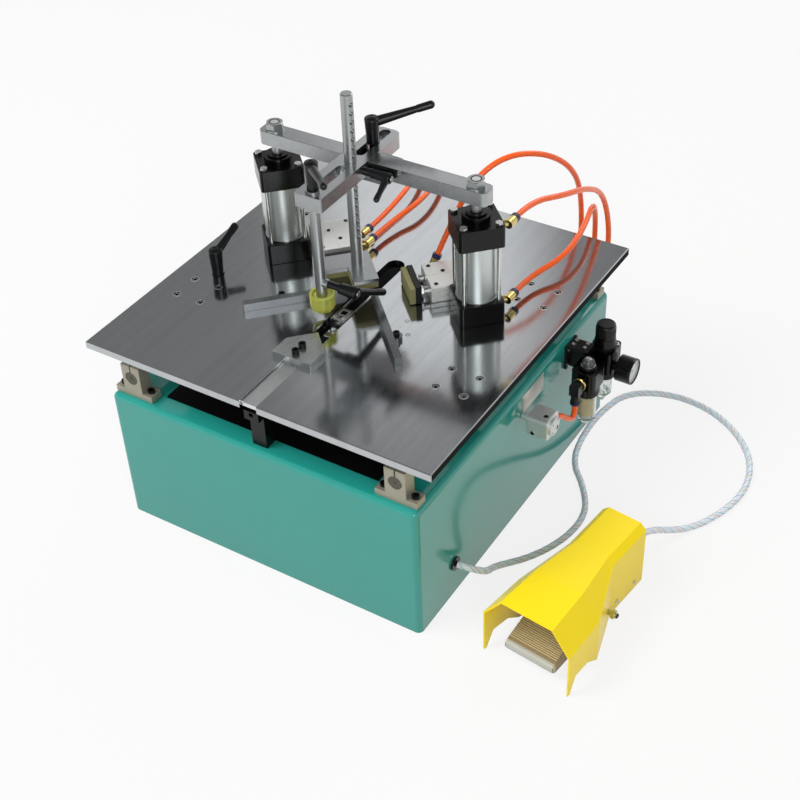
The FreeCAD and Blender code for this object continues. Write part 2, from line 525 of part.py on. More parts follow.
def chevron(z0, thick, side, width):
    """Plan view chevron whose inner corner faces the operator."""
    s = math.sqrt(0.5)
    inner = CHEVRON_INNER
    outer = inner + width / s
    outline = [V(0, outer, 0), V(side * s, outer - side * s, 0),
               V((side - width) * s, outer - (side + width) * s, 0), V(0, inner, 0),
               V(-(side - width) * s, outer - (side + width) * s, 0), V(-side * s, outer - side * s, 0)]
    return at(prism(outline, thick), V(ARM_X, 0, z0))


def post_presser():
    plate = chevron(POST_FOOT - CHEVRON_T, CHEVRON_T, CHEVRON_SIDE, CHEVRON_W)
    plate = plate.cut(cyl(POST_R * 0.6, CHEVRON_T, V(ARM_X, POST_Y, POST_FOOT - CHEVRON_T)))
    pad = chevron(POST_FOOT - CHEVRON_T - CHEVRON_PAD_T, CHEVRON_PAD_T, CHEVRON_SIDE - 1, CHEVRON_W - 1)
    return plate, pad


def presser_rod():
    """Tube under the arm's front slot, its stud through the slot, and a flange on top."""
    low = BAR_BOTTOM + ARM_CLEAR
    axis = V(ARM_X, PRESSER_Y, 0)
    rod = cyl(PRESSER_R, low - PRESSER_FOOT, axis + Z * PRESSER_FOOT)
    shoulder = cyl(FLANGE_R, FLANGE_T, axis + Z * (low - FLANGE_T))
    boss = cyl(CUP_BOSS_R, CUP_BOSS_OUT, axis + Z * CUP_BOSS_Z, X)
    bore = cyl(STEM_R + RUN, STEM_UP + 6, axis + Z * PRESSER_FOOT)
    side = cyl(CUP_STUD_R, CUP_BOSS_OUT, axis + Z * CUP_BOSS_Z, X)
    stud = cyl(STUD_R, BAR_TOP + FLANGE_T + 6 - low, axis + Z * low)
    seat = axis + Z * BAR_TOP
    flange = cyl(FLANGE_R, FLANGE_T, seat).cut(cyl(STUD_R, FLANGE_T, seat))
    return [rod.fuse([shoulder, boss]).cut([bore, side]).fuse(stud), flange]


def presser_cup():
    """Soft cup with a shallow recess, moulded round the stem's foot."""
    profile = [V(r, 0, z) for r, z in CUP_PROFILE]
    face = Part.Face(Part.makePolygon(profile + [profile[0]]))
    return at(face.revolve(V(0, 0, 0), Z, 360), V(ARM_X, PRESSER_Y, CUP_Z))


def presser_stem():
    foot = CUP_Z + CUP_SOCKET
    return cyl(STEM_R, PRESSER_FOOT + STEM_UP - foot, V(ARM_X, PRESSER_Y, foot))


# ---------------------------------------------------------------- clamping levers
def levers():
    table_lock = lever(V(-GUIDE_X, LOCK_Y, TAB_TOP), Z, LOCK_LEVER, LOCK_STUD_R, TAB_T + 12)
    arm_lock = lever(V(ARM_X, ARM_LEVER_Y, BAR_TOP), Z, ARM_LEVER, LOCK_STUD_R, BAR_H + SADDLE_BASE)
    mid = BAR_TOP - BAR_H / 2
    post_lock = lever(V(ARM_X + ARM_W / 2, POST_Y, mid), X, POST_LEVER, POST_STUD_R,
                      ARM_W / 2 - POST_R - 1)
    seat = V(ARM_X, PRESSER_Y, BAR_TOP + FLANGE_T)
    presser_lock = lever(seat, Z, PRESSER_LEVER, STUD_R, 0).cut(cyl(STUD_R + RUN, 6.5, seat))
    side = V(ARM_X + CUP_BOSS_OUT, PRESSER_Y, CUP_BOSS_Z)
    cup_lock = lever(side, X, CUP_LEVER, CUP_STUD_R, CUP_BOSS_OUT - STEM_R - 0.4)
    return {"table_lock_lever": [table_lock], "arm_lever": [arm_lock], "post_lever": [post_lock],
            "presser_lever": [presser_lock], "cup_lever": [cup_lock]}


# ---------------------------------------------------------------- side clamps
def clamp_frame(shape):
    """From the clamp's own axes (push line along -X, table at z = 0) to the right side of the table."""
    out = shape.copy()
    out.translate(V(0, -CLAMP_SHIFT, TAB_TOP))
    out.rotate(V(0, 0, 0), Z, 45)
    return out


def clamp_parts():
    w, h = CLAMP_PAD_W / 2, CLAMP_PAD_H
    low = 1.5
    a0 = CLAMP_PAD_AT
    pad = box(a0, a0 + CLAMP_PAD_T, -w, w, low, low + h)
    a1 = a0 + CLAMP_PAD_T
    plate = box(a1, a1 + CLAMP_PLATE_T, -w, w, low, low + h + 1)
    a2 = a1 + CLAMP_PLATE_T
    mid = CLAMP_BODY_H / 2
    reach = CLAMP_BODY_AT + 40 - a2
    rods = [cyl(CLAMP_ROD_R, reach, V(a2, s * CLAMP_ROD_PITCH / 2, mid), X) for s in (-1, 1)]
    plate = plate.fuse(rods + [cyl(3.5, 8, V(a2, 0, mid), X)])
    b0, b1 = CLAMP_BODY_AT, CLAMP_BODY_AT + CLAMP_BODY_L
    body = box(b0, b1, -CLAMP_BODY_W / 2, CLAMP_BODY_W / 2, 0, CLAMP_BODY_H)
    body = body.makeFillet(2, edges_along(body, X))
    grooves = []
    for s in (-1, 1):
        for z in (8.0, 17.0):
            y = s * CLAMP_BODY_W / 2
            grooves.append(box(b0 - 1, b1 + 1, y - 1.5, y + 1.5, z - 1, z + 1))
    bores = [cyl(CLAMP_ROD_R + RUN, 56, V(b0 - 1, s * CLAMP_ROD_PITCH / 2, mid), X) for s in (-1, 1)]
    seam = box(b0 - 1, b1 + 1, -0.5, 0.5, CLAMP_BODY_H - 0.6, CLAMP_BODY_H + 1)
    body = body.cut(grooves + bores + [seam])
    return clamp_frame(body), clamp_frame(plate), clamp_frame(pad)


# ---------------------------------------------------------------- air service unit
def unit_bracket():
    wall, x = CAB_W / 2, UNIT_X
    near, far = LUBE_Y + UNIT_BODY / 2, FILTER_Y - UNIT_BODY / 2
    plate = box(wall, wall + BRACKET_T, near - 9, far + 9, BRACKET_LOW, BRACKET_TOP)
    reach = box(wall + BRACKET_T, x - JOINER_HALF, near, far, JOINER_LOW, BRACKET_TOP - BRACKET_T)
    flange = box(wall, x - 8, near - 7, far + 3, BRACKET_TOP - BRACKET_T, BRACKET_TOP)
    return plate.fuse([reach, flange])


def regulator():
    """Filter regulator, its knob, gauge case and bare dial."""
    x, y, half, deep = UNIT_X, FILTER_Y, UNIT_BODY / 2, UNIT_DEPTH / 2
    body = box(x - deep, x + deep, y - half, y + half, FILTER_LOW + 10, FILTER_TOP)
    body = body.makeFillet(6, edges_along(body, Z))
    bonnet = Part.makeCone(17, 14, BONNET_H, V(x, y, FILTER_TOP))
    collar = cyl(17, 10, V(x, y, FILTER_LOW))
    gauge_boss = cyl(7, 6, V(x + deep, y, GAUGE_Z), X)
    inlet_boss = cyl(10, 4, V(x, y + half, INLET_Z), Y)
    body = body.fuse([bonnet, collar, gauge_boss, inlet_boss])
    body = body.cut(cyl(INLET_R, INLET_DEEP, V(x, y + half + 4 - INLET_DEEP, INLET_Z), Y))
    foot = FILTER_TOP + BONNET_H + 0.3
    knob = cyl(KNOB_R, KNOB_H, V(x, y, foot))
    knob = knob.makeFillet(3, [e for e in knob.Edges if e.CenterOfMass.z > foot + KNOB_H - 0.1])
    face = V(x + deep + 6 + GAUGE_L - 5, y, GAUGE_Z)
    gauge = cyl(GAUGE_R, GAUGE_L, V(x + deep + 6, y, GAUGE_Z), X).cut(cyl(GAUGE_R - 2, 5, face, X))
    return body, knob, gauge, cyl(GAUGE_R - 2, 1, face, X)


def lubricator():
    x, y, half, deep = UNIT_X, LUBE_Y, UNIT_BODY / 2, UNIT_DEPTH / 2
    body = box(x - deep, x + deep, y - half, y + half, LUBE_LOW + 12, LUBE_TOP)
    body = body.makeFillet(8, edges_along(body, Z))
    skirt = cyl(18, 14, V(x, y, LUBE_LOW))
    joiner = box(x - JOINER_HALF, x + JOINER_HALF, y + half, FILTER_Y - half, JOINER_LOW, JOINER_TOP)
    outlet = cyl(8, y - half - ELBOW_Y - ELBOW_SIDE / 2, V(x, y - half, OUTLET_Z), -Y)
    return body.fuse([skirt, joiner, outlet])


def bowls():
    """The two bowls under the unit, each with its drain, and the lubricator's sight dome."""
    solids = []
    for y, top, (length, r) in ((FILTER_Y, FILTER_LOW, FILTER_BOWL), (LUBE_Y, LUBE_LOW, LUBE_BOWL)):
        low = top - length
        cup = Part.makeCone(r * 0.55, r, 8, V(UNIT_X, y, low))
        cup = cup.fuse(cyl(r, top - low - 8, V(UNIT_X, y, low + 8)))
        hollow = cyl(r - 2, top - low - 10, V(UNIT_X, y, low + 10))
        solids.append(cup.cut(hollow).fuse(cyl(3.5, 7, V(UNIT_X, y, low - 7))))
    dome = Part.makeSphere(9, V(UNIT_X, LUBE_Y, LUBE_TOP + 8), Z, 0, 90, 360)
    return solids + [cyl(9, 8, V(UNIT_X, LUBE_Y, LUBE_TOP)).fuse(dome)]


def elbow_fitting():
    x, y, half = UNIT_X, ELBOW_Y, ELBOW_SIDE / 2
    low = OUTLET_Z - half - 2
    block = box(x - half, x + half, y - half, y + half, low, OUTLET_Z + half)
    return block.fuse(cyl(half - 0.5, low - ELBOW_END, V(x, y, ELBOW_END)))


def air_valve():
    """Small piloted valve on a stub pipe that stands off the wall."""
    wall = CAB_W / 2
    x0 = wall + VALVE_OFF
    half = VALVE_SIDE / 2
    body = box(x0, x0 + VALVE_L, VALVE_Y - half, VALVE_Y + half, VALVE_Z - half, VALVE_Z + half)
    body = body.makeFillet(7, edges_along(body, X))
    cover = cyl(half * 0.8, 4, V(x0 + VALVE_L, VALVE_Y, VALVE_Z), X)
    stub = cyl(5, VALVE_OFF, V(wall, VALVE_Y, VALVE_Z), X)
    return body.fuse([cover, stub, cyl(6, 9, VALVE_PORT - Y * 9, Y)])


def rear_ports():
    """Push-in fittings on the cabinet's rear wall."""
    back = CAB_D / 2
    seats = [V(x, back, REAR_PORT_Z) for x in REAR_PORT_X.values()]
    return [cyl(7, REAR_PORT_L - 4, p, Y).fuse(cyl(5.5, REAR_PORT_L, p, Y)) for p in seats]


def push_fitting(seat, out, swivel):
    """Brass elbow: out leaves the port, and its push-in end points along swivel."""
    stem = cyl(5, FITTING_OUT - 4, seat, out)
    middle = seat + out * FITTING_OUT
    body = cyl(6, 15, middle - swivel * 6, swivel)
    return stem.fuse(body)


def fitting_collar(seat, out, swivel):
    return cyl(6.5, 6, seat + out * FITTING_OUT + swivel * 9, swivel)


def fitting_end(seat, out, swivel):
    return seat + out * FITTING_OUT + swivel * 15.6


def port_list():
    """Seat, outward direction and swivel direction of each fitting that has a hose."""
    s = math.sqrt(0.5)
    out = V(s, s, 0)
    face = V(CYL_X, CYL_Y, 0) + out * (CAP_SIDE / 2)
    side = V(-s, s, 0)
    along = CLAMP_BODY_AT + 21
    port = V((along + CLAMP_SHIFT - CLAMP_BODY_W / 2) * s, (along - CLAMP_SHIFT + CLAMP_BODY_W / 2) * s,
             TAB_TOP + CLAMP_BODY_H / 2)
    left = V(-port.x, port.y, port.z)
    left2 = left + V(-26 * s, 26 * s, 0)
    return {"right_top": (V(face.x, face.y, CAP_TOP - 14.5), out, V(0, 1, 0)),
            "right_base": (V(face.x, face.y, TAB_TOP + 15), out, V(0, 1, 0)),
            "right_clamp": (port, side, V(0.25, 0.35, 0.9).normalize()),
            "left_clamp": (left, V(s, s, 0), V(0, 1, 0)),
            "left_clamp_back": (left2, V(s, s, 0), V(0, 1, 0))}


def air_hoses():
    """Tubes from the table's ports over its back edge to the ports in the cabinet's rear wall."""
    hoses = []
    for name, (seat, out, swivel) in port_list().items():
        start = fitting_end(seat, out, swivel)
        end = V(REAR_PORT_X[name], CAB_D / 2 + REAR_PORT_L, REAR_PORT_Z)
        route = [V(*p) for p in ROUTES[name]]
        straight = start + swivel * (route[0] - start).dot(swivel)
        points = [start, straight] + route[1:] + [end + V(0, LOOP_DROP, 0), end]
        hoses.append(hose(name, points, HOSE_R))
    return hoses


def feed_hose():
    """Short tube that hangs from the lubricator's elbow to the port in the valve's side."""
    start, end = V(UNIT_X, ELBOW_Y, ELBOW_END), VALVE_PORT
    points = [start, start - Z * 26, end + V(4, 36, -22), end + Y * 16, end]
    return hose("feed_hose", points, HOSE_R)


def foot_hose():
    """Pair of pilot tubes in one sheath, lying on the floor from the grommet to the pedal."""
    start = V(CAB_W / 2 + 4.2, GROMMET_Y, GROMMET_Z)
    floor = BUNDLE_R + 0.2
    end = pedal_frame(Part.Vertex(0, 2.8, TUBE_PORT_Z)).Point
    before = pedal_frame(Part.Vertex(0, 50, TUBE_PORT_Z - 5)).Point
    points = [start, start + V(36, 8, -6)] + [V(x, y, floor) for x, y in FOOT_ROUTE] + [before, end]
    return hose("foot_hose", points, BUNDLE_R)


def grommet():
    wall = CAB_W / 2
    ring = cyl(GROMMET_R + 3, 3, V(wall, GROMMET_Y, GROMMET_Z), X)
    neck = cyl(GROMMET_R, CAB_WALL, V(wall - CAB_WALL, GROMMET_Y, GROMMET_Z), X)
    back = cyl(GROMMET_R + 3, 3, V(wall - CAB_WALL - 3, GROMMET_Y, GROMMET_Z), X)
    return ring.fuse([neck, back])


# ---------------------------------------------------------------- foot pedal
def pedal_frame(shape):
    return at(shape, PEDAL_AT, PEDAL_YAW)


def guard_section(v, width, height, bevel_w, bevel_h, inset):
    w, h = width / 2 - inset, height - inset
    bw, bh = bevel_w - inset * 0.4, bevel_h - inset * 0.4
    points = [V(-w, v, 0), V(-w, v, h - bh), V(-w + bw, v, h),
              V(w - bw, v, h), V(w, v, h - bh), V(w, v, 0)]
    return Part.makePolygon(points + [points[0]])


def guard_shell(inset, low_v, back_v):
    stations = [(back_v, PEDAL_REAR_W, PEDAL_H, 9, 9),
                (-78, PEDAL_REAR_W, PEDAL_H, 9, 9),
                (-150, PEDAL_FRONT_W - 8, PEDAL_FRONT_H, 26, 34),
                (low_v, PEDAL_FRONT_W, PEDAL_FRONT_H, 26, 34)]
    wires = [guard_section(v, w, h, bw, bh, inset) for v, w, h, bw, bh in stations]
    return Part.makeLoft(wires, True, True)


def pedal_guard():
    outer = guard_shell(0, -PEDAL_LEN, 0)
    inner = guard_shell(GUARD_T, -PEDAL_LEN - 1, -GUARD_T)
    shell = outer.cut(inner)
    reach = PEDAL_FRONT_W
    side = ((-PEDAL_LEN - 1, -1), (-150, -1), (-175, 18), (-PEDAL_LEN + 18, 22), (-PEDAL_LEN + 4, -1))
    step = prism([V(-reach, v, z) for v, z in side], 2 * reach, X)
    port = cyl(TUBE_PORT_R, 10, V(0, -GUARD_T - 4, TUBE_PORT_Z), Y)
    axle = cyl(AXLE_R, 2 * reach, V(-reach, AXLE_V, AXLE_Z), X)
    return pedal_frame(shell.cut([port, axle, step]))


def pedal_base():
    half = PEDAL_REAR_W / 2 - GUARD_T - 0.5
    plate = box(-half, half, -150, -GUARD_T - 0.5, 0, 3)
    side = TREADLE_W / 2 - 12
    ears = [box(s * side - 2, s * side + 2, AXLE_V - 9, AXLE_V + 9, 3, AXLE_Z + 8) for s in (-1, 1)]
    hole = cyl(AXLE_R, 100, V(-50, AXLE_V, AXLE_Z), X)
    return pedal_frame(plate.fuse(ears).cut(hole))


def pedal_valve():
    body = box(-13, 13, -70, -12, 3, 62)
    body = body.makeFillet(2, edges_along(body, Y))
    stub = cyl(TUBE_PORT_R - 1, 14, V(0, -12, TUBE_PORT_Z), Y)
    return pedal_frame(body.fuse(stub))


def treadle():
    """Ribbed wedge on the axle; its heel end is low, at the mouth of the guard."""
    half = TREADLE_W / 2 - 15.5
    wide = TREADLE_W / 2
    front = -PEDAL_LEN + 8
    side = [V(0, front, 16), V(0, front + 6, 12), V(0, -150, 12), V(0, -118, 22), V(0, -118, 56),
            V(0, front + 8, 28), V(0, front, 24)]
    wedge = prism([V(-wide, p.y, p.z) for p in side], 2 * wide, X)
    wedge = wedge.makeFillet(3, edges_along(wedge, X, lambda c: c.y < front + 1))
    ribs = []
    count = 14
    top0, top1 = V(0, front + 12, 29.3), V(0, -124, 54.1)
    for k in range(count):
        p = top0 + (top1 - top0) * (k / (count - 1.0))
        ribs.append(box(-wide - 1, wide + 1, p.y - 1.1, p.y + 1.1, p.z - 0.6, p.z + 6))
    wedge = wedge.cut(ribs)
    neck = prism([V(-half, -120, 22), V(-half, -120, 50), V(-half, AXLE_V - 2, AXLE_Z + 8),
                  V(-half, AXLE_V + 8, AXLE_Z + 4), V(-half, AXLE_V + 8, AXLE_Z - 6)], 2 * half, X)
    hole = cyl(AXLE_R + RUN, 100, V(-50, AXLE_V, AXLE_Z), X)
    return pedal_frame(wedge.fuse(neck).cut(hole))


def pedal_axle():
    half = AXLE_NUT + 5
    rod = cyl(AXLE_R, 2 * half, V(-half, AXLE_V, AXLE_Z), X)
    nuts = [hexagon(11, 5, V(s * AXLE_NUT - 2.5, AXLE_V, AXLE_Z), X) for s in (-1, 1)]
    return pedal_frame(rod.fuse(nuts))


def build():
    supports, support_screws, shafts, blocks = guide_parts()
    parts = {"cabinet": [cabinet()], "shaft_supports": supports, "support_screws": support_screws,
             "guide_shafts": shafts, "bearing_blocks": blocks, "table_plate": [table_plate()],
             "table_screws": table_screws(), "fence_bars": [fence_bar(1), fence_bar(-1)],
             "front_stop": [front_stop()], "stop_bar": [stop_bar()],
             "stop_screws": [screw(V(0, y, TAB_TOP + STOP_T), STOP_T + TAB_T - 2) for y in STOP_SCREWS]}
    parts["nail_head"] = [nail_head()]
    parts["nail_magazine"] = [magazine()]
    driver_body, driver_rod = driver_parts()
    parts["driver_cylinder"] = [driver_body]
    parts["driver_rod"] = [driver_rod]
    base_cap, barrel, top_cap, ties, rods = cylinder_parts()
    for name, solids in (("base_caps", [base_cap]), ("barrels", [barrel]), ("top_caps", [top_cap]),
                         ("tie_rods", ties), ("piston_rods", rods)):
        parts[name] = solids + [mirror_x(s) for s in solids]
    parts["crossbar"] = crossbar()
    parts["saddle"] = [saddle()]
    parts["arm"] = [arm()]
    parts["notched_post"] = [notched_post()]
    plate, pad = post_presser()
    parts["post_presser"] = [plate]
    parts["post_pad"] = [pad]
    parts["presser_rod"] = presser_rod()
    parts["presser_stem"] = [presser_stem()]
    parts["presser_cup"] = [presser_cup()]
    parts.update(levers())
    body, plate, pad = clamp_parts()
    parts["clamp_bodies"] = [body, mirror_x(body)]
    parts["right_clamp_plate"], parts["left_clamp_plate"] = [plate], [mirror_x(plate)]
    parts["right_clamp_pad"], parts["left_clamp_pad"] = [pad], [mirror_x(pad)]
    body, knob, gauge, dial = regulator()
    parts.update({"unit_bracket": [unit_bracket()], "filter_regulator": [body], "regulator_knob": [knob],
                  "gauge_case": [gauge], "gauge_dial": [dial], "lubricator": [lubricator()],
                  "clear_bowls": bowls(), "elbow_fitting": [elbow_fitting()]})
    parts["air_valve"] = [air_valve()]
    parts["grommet"] = [grommet()]
    parts["rear_ports"] = rear_ports()
    parts["air_fittings"] = [push_fitting(*spec) for spec in port_list().values()]
    parts["fitting_collars"] = [fitting_collar(*spec) for spec in port_list().values()]
    parts["air_hoses"] = air_hoses()
    parts["feed_hose"] = [feed_hose()]
    parts["foot_hose"] = [foot_hose()]
    parts["pedal_guard"] = [pedal_guard()]
    parts["pedal_base"] = [pedal_base()]
    parts["pedal_valve"] = [pedal_valve()]
    parts["treadle"] = [treadle()]
    parts["pedal_axle"] = [pedal_axle()]
    return parts


def save(parts):
    os.makedirs("parts", exist_ok=True)
    for name, solids in parts.items():
        pieces = [s.removeSplitter() for s in solids]
        shape = pieces[0] if len(pieces) == 1 else Part.makeCompound(pieces)
        count = len(shape.Solids)
        if count != len(solids) or not shape.isValid():
            print("CHECK", name, "solids", count, "of", len(solids), "valid", shape.isValid())
        shape.exportStep("parts/%s.step" % name)


save(build())
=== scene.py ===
"""Dresses the picture frame underpinner: materials, small parts, tubes, stage and camera."""
import math

import bmesh
import bpy
from mathutils import Matrix, Vector


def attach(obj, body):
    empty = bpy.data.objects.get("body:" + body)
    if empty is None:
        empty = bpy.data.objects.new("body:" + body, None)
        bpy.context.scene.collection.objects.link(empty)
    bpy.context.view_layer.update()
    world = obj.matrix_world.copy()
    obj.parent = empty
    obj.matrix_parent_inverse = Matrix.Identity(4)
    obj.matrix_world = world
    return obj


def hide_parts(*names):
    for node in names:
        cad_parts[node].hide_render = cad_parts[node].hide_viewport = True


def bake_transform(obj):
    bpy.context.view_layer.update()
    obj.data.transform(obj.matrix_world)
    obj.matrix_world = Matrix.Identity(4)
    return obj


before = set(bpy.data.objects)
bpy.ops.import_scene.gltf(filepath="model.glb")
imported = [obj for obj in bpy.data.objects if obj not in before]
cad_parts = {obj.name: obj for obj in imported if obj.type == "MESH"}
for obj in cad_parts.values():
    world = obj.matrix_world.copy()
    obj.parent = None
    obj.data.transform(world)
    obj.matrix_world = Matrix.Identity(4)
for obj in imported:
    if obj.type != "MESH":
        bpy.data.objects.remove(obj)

bl_info = {
    "name": "Picture frame underpinner",
    "version": (1, 0, 0),
    "blender": (4, 5, 0),
    "location": "3D View > Sidebar > Underpinner",
    "description": "Finishes and small parts of a pneumatic picture frame underpinner",
    "category": "Object",
}

MM = 0.001
X, Y, Z = Vector((1, 0, 0)), Vector((0, 1, 0)), Vector((0, 0, 1))


class UnderpinnerSettings(bpy.types.PropertyGroup):
    """Sizes in metres and colours as sRGB hex."""
    enamel: bpy.props.StringProperty(
        name="Cabinet enamel", description="Colour of the stoved enamel on the cabinet, as sRGB hex",
        default="#239388")
    guard_yellow: bpy.props.StringProperty(
        name="Pedal guard", description="Colour of the powder coat on the pedal's guard, as sRGB hex",
        default="#FFE000")
    tube_orange: bpy.props.StringProperty(
        name="Air tubes", description="Colour of the polyurethane air tubes, as sRGB hex", default="#FF6418")
    pad_khaki: bpy.props.StringProperty(
        name="Pads", description="Colour of the rubber pads of post and clamps, as sRGB hex",
        default="#86825A")
    cup_yellow: bpy.props.StringProperty(
        name="Presser cup", description="Colour of the cast cup under the front presser, as sRGB hex",
        default="#DDE070")
    tube_radius: bpy.props.FloatProperty(
        name="Air tube radius", description="Half the outer diameter of the air tubes", default=0.004,
        unit="LENGTH")
    bundle_radius: bpy.props.FloatProperty(
        name="Pedal tube radius", description="Half the outer diameter of the pedal's sheathed tubes",
        default=0.0045, unit="LENGTH")
    lens: bpy.props.FloatProperty(
        name="Camera lens", description="Focal length of the camera, in millimetres", default=64.82,
        unit="CAMERA")


# ---------------------------------------------------------------- materials
def linear(colour):
    """sRGB hex to the linear colour that shaders take."""
    channels = [int(colour[i:i + 2], 16) / 255 for i in (1, 3, 5)]
    return [c / 12.92 if c <= 0.04045 else ((c + 0.055) / 1.055) ** 2.4 for c in channels] + [1.0]


def add(tree, kind, inputs=None, **settings):
    """Adds a node; an input is a value or the socket to link."""
    made = tree.nodes.new(kind)
    for name, value in settings.items():
        setattr(made, name, value)
    for name, value in (inputs or {}).items():
        if isinstance(value, bpy.types.NodeSocket):
            tree.links.new(value, made.inputs[name])
        else:
            made.inputs[name].default_value = value
    return made


def noise(tree, size_mm, stretch=(1, 1, 1), detail=3.0):
    """Noise with features of about size_mm, drawn out along the axes with a large stretch."""
    place = add(tree, "ShaderNodeTexCoord")
    scaled = add(tree, "ShaderNodeMapping", {"Vector": place.outputs["Object"]})
    scaled.inputs["Scale"].default_value = [1 / s for s in stretch]
    return add(tree, "ShaderNodeTexNoise", {"Vector": scaled.outputs["Vector"], "Scale": 1000 / size_mm,
                                            "Detail": detail}).outputs["Fac"]


def span(tree, value, low, high):
    """Stretches the middle of a noise to the range from low to high."""
    return add(tree, "ShaderNodeMapRange", {"Value": value, "From Min": 0.3, "From Max": 0.7,
                                            "To Min": low, "To Max": high}).outputs["Result"]


def surface(name, colour, metallic=0.0, roughness=0.4, vary=0.06, mottle_mm=30.0, grain_mm=1.0,
            stretch=(1, 1, 1), bump_mm=0.01, rough_vary=0.08, coat=0.0, **more):
    """A painted, metal or moulded surface with its mottling, grain and uneven sheen.

    mottle_mm and grain_mm are real sizes on the surface, and stretch draws both out along an axis."""
    made = bpy.data.materials.new(name)
    made.use_nodes = True
    tree = made.node_tree
    shader = tree.nodes["Principled BSDF"]
    base = linear(colour)
    tone = noise(tree, mottle_mm, stretch)
    mix = add(tree, "ShaderNodeMix", {"Factor": tone}, data_type="RGBA")
    mix.inputs[6].default_value = [c * (1 - vary) for c in base[:3]] + [1]
    mix.inputs[7].default_value = [min(1, c * (1 + vary)) for c in base[:3]] + [1]
    tree.links.new(mix.outputs[2], shader.inputs["Base Color"])
    grain = noise(tree, grain_mm, stretch)
    uneven = span(tree, grain, max(0.02, roughness - rough_vary), min(1, roughness + rough_vary))
    tree.links.new(uneven, shader.inputs["Roughness"])
    bump = add(tree, "ShaderNodeBump", {"Height": grain, "Strength": 1.0, "Distance": bump_mm * MM})
    tree.links.new(bump.outputs["Normal"], shader.inputs["Normal"])
    shader.inputs["Metallic"].default_value = metallic
    shader.inputs["Coat Weight"].default_value = coat
    shader.inputs["Coat Roughness"].default_value = 0.06
    for socket, value in more.items():
        shader.inputs[socket.replace("_", " ")].default_value = value
    return made


def studio_floor():
    """Matt white paper: rays that see it directly find it white, and it still takes a soft shadow."""
    made = bpy.data.materials.new("studio_paper")
    made.use_nodes = True
    tree = made.node_tree
    tree.nodes.remove(tree.nodes["Principled BSDF"])
    matt = add(tree, "ShaderNodeBsdfDiffuse", {"Color": linear("#DEDEDC"), "Roughness": 1.0})
    glow = add(tree, "ShaderNodeEmission", {"Color": (1, 1, 1, 1), "Strength": 1.0})
    blend = add(tree, "ShaderNodeMixShader", {"Fac": seen_ray(tree, PAPER_GLOW)})
    tree.links.new(matt.outputs[0], blend.inputs[1])
    tree.links.new(glow.outputs[0], blend.inputs[2])
    tree.links.new(blend.outputs[0], tree.nodes["Material Output"].inputs["Surface"])
    return made


def seen_ray(tree, amount):
    """The amount for camera, mirror and glass rays, and 0 for the rays that light the machine."""
    path = add(tree, "ShaderNodeLightPath")
    glossy = add(tree, "ShaderNodeMath", {0: path.outputs["Is Camera Ray"], 1: path.outputs["Is Glossy Ray"]},
                 operation="MAXIMUM")
    seen = add(tree, "ShaderNodeMath", {0: glossy.outputs[0], 1: path.outputs["Is Transmission Ray"]},
               operation="MAXIMUM")
    return add(tree, "ShaderNodeMath", {0: seen.outputs[0], 1: amount}, operation="MULTIPLY").outputs[0]


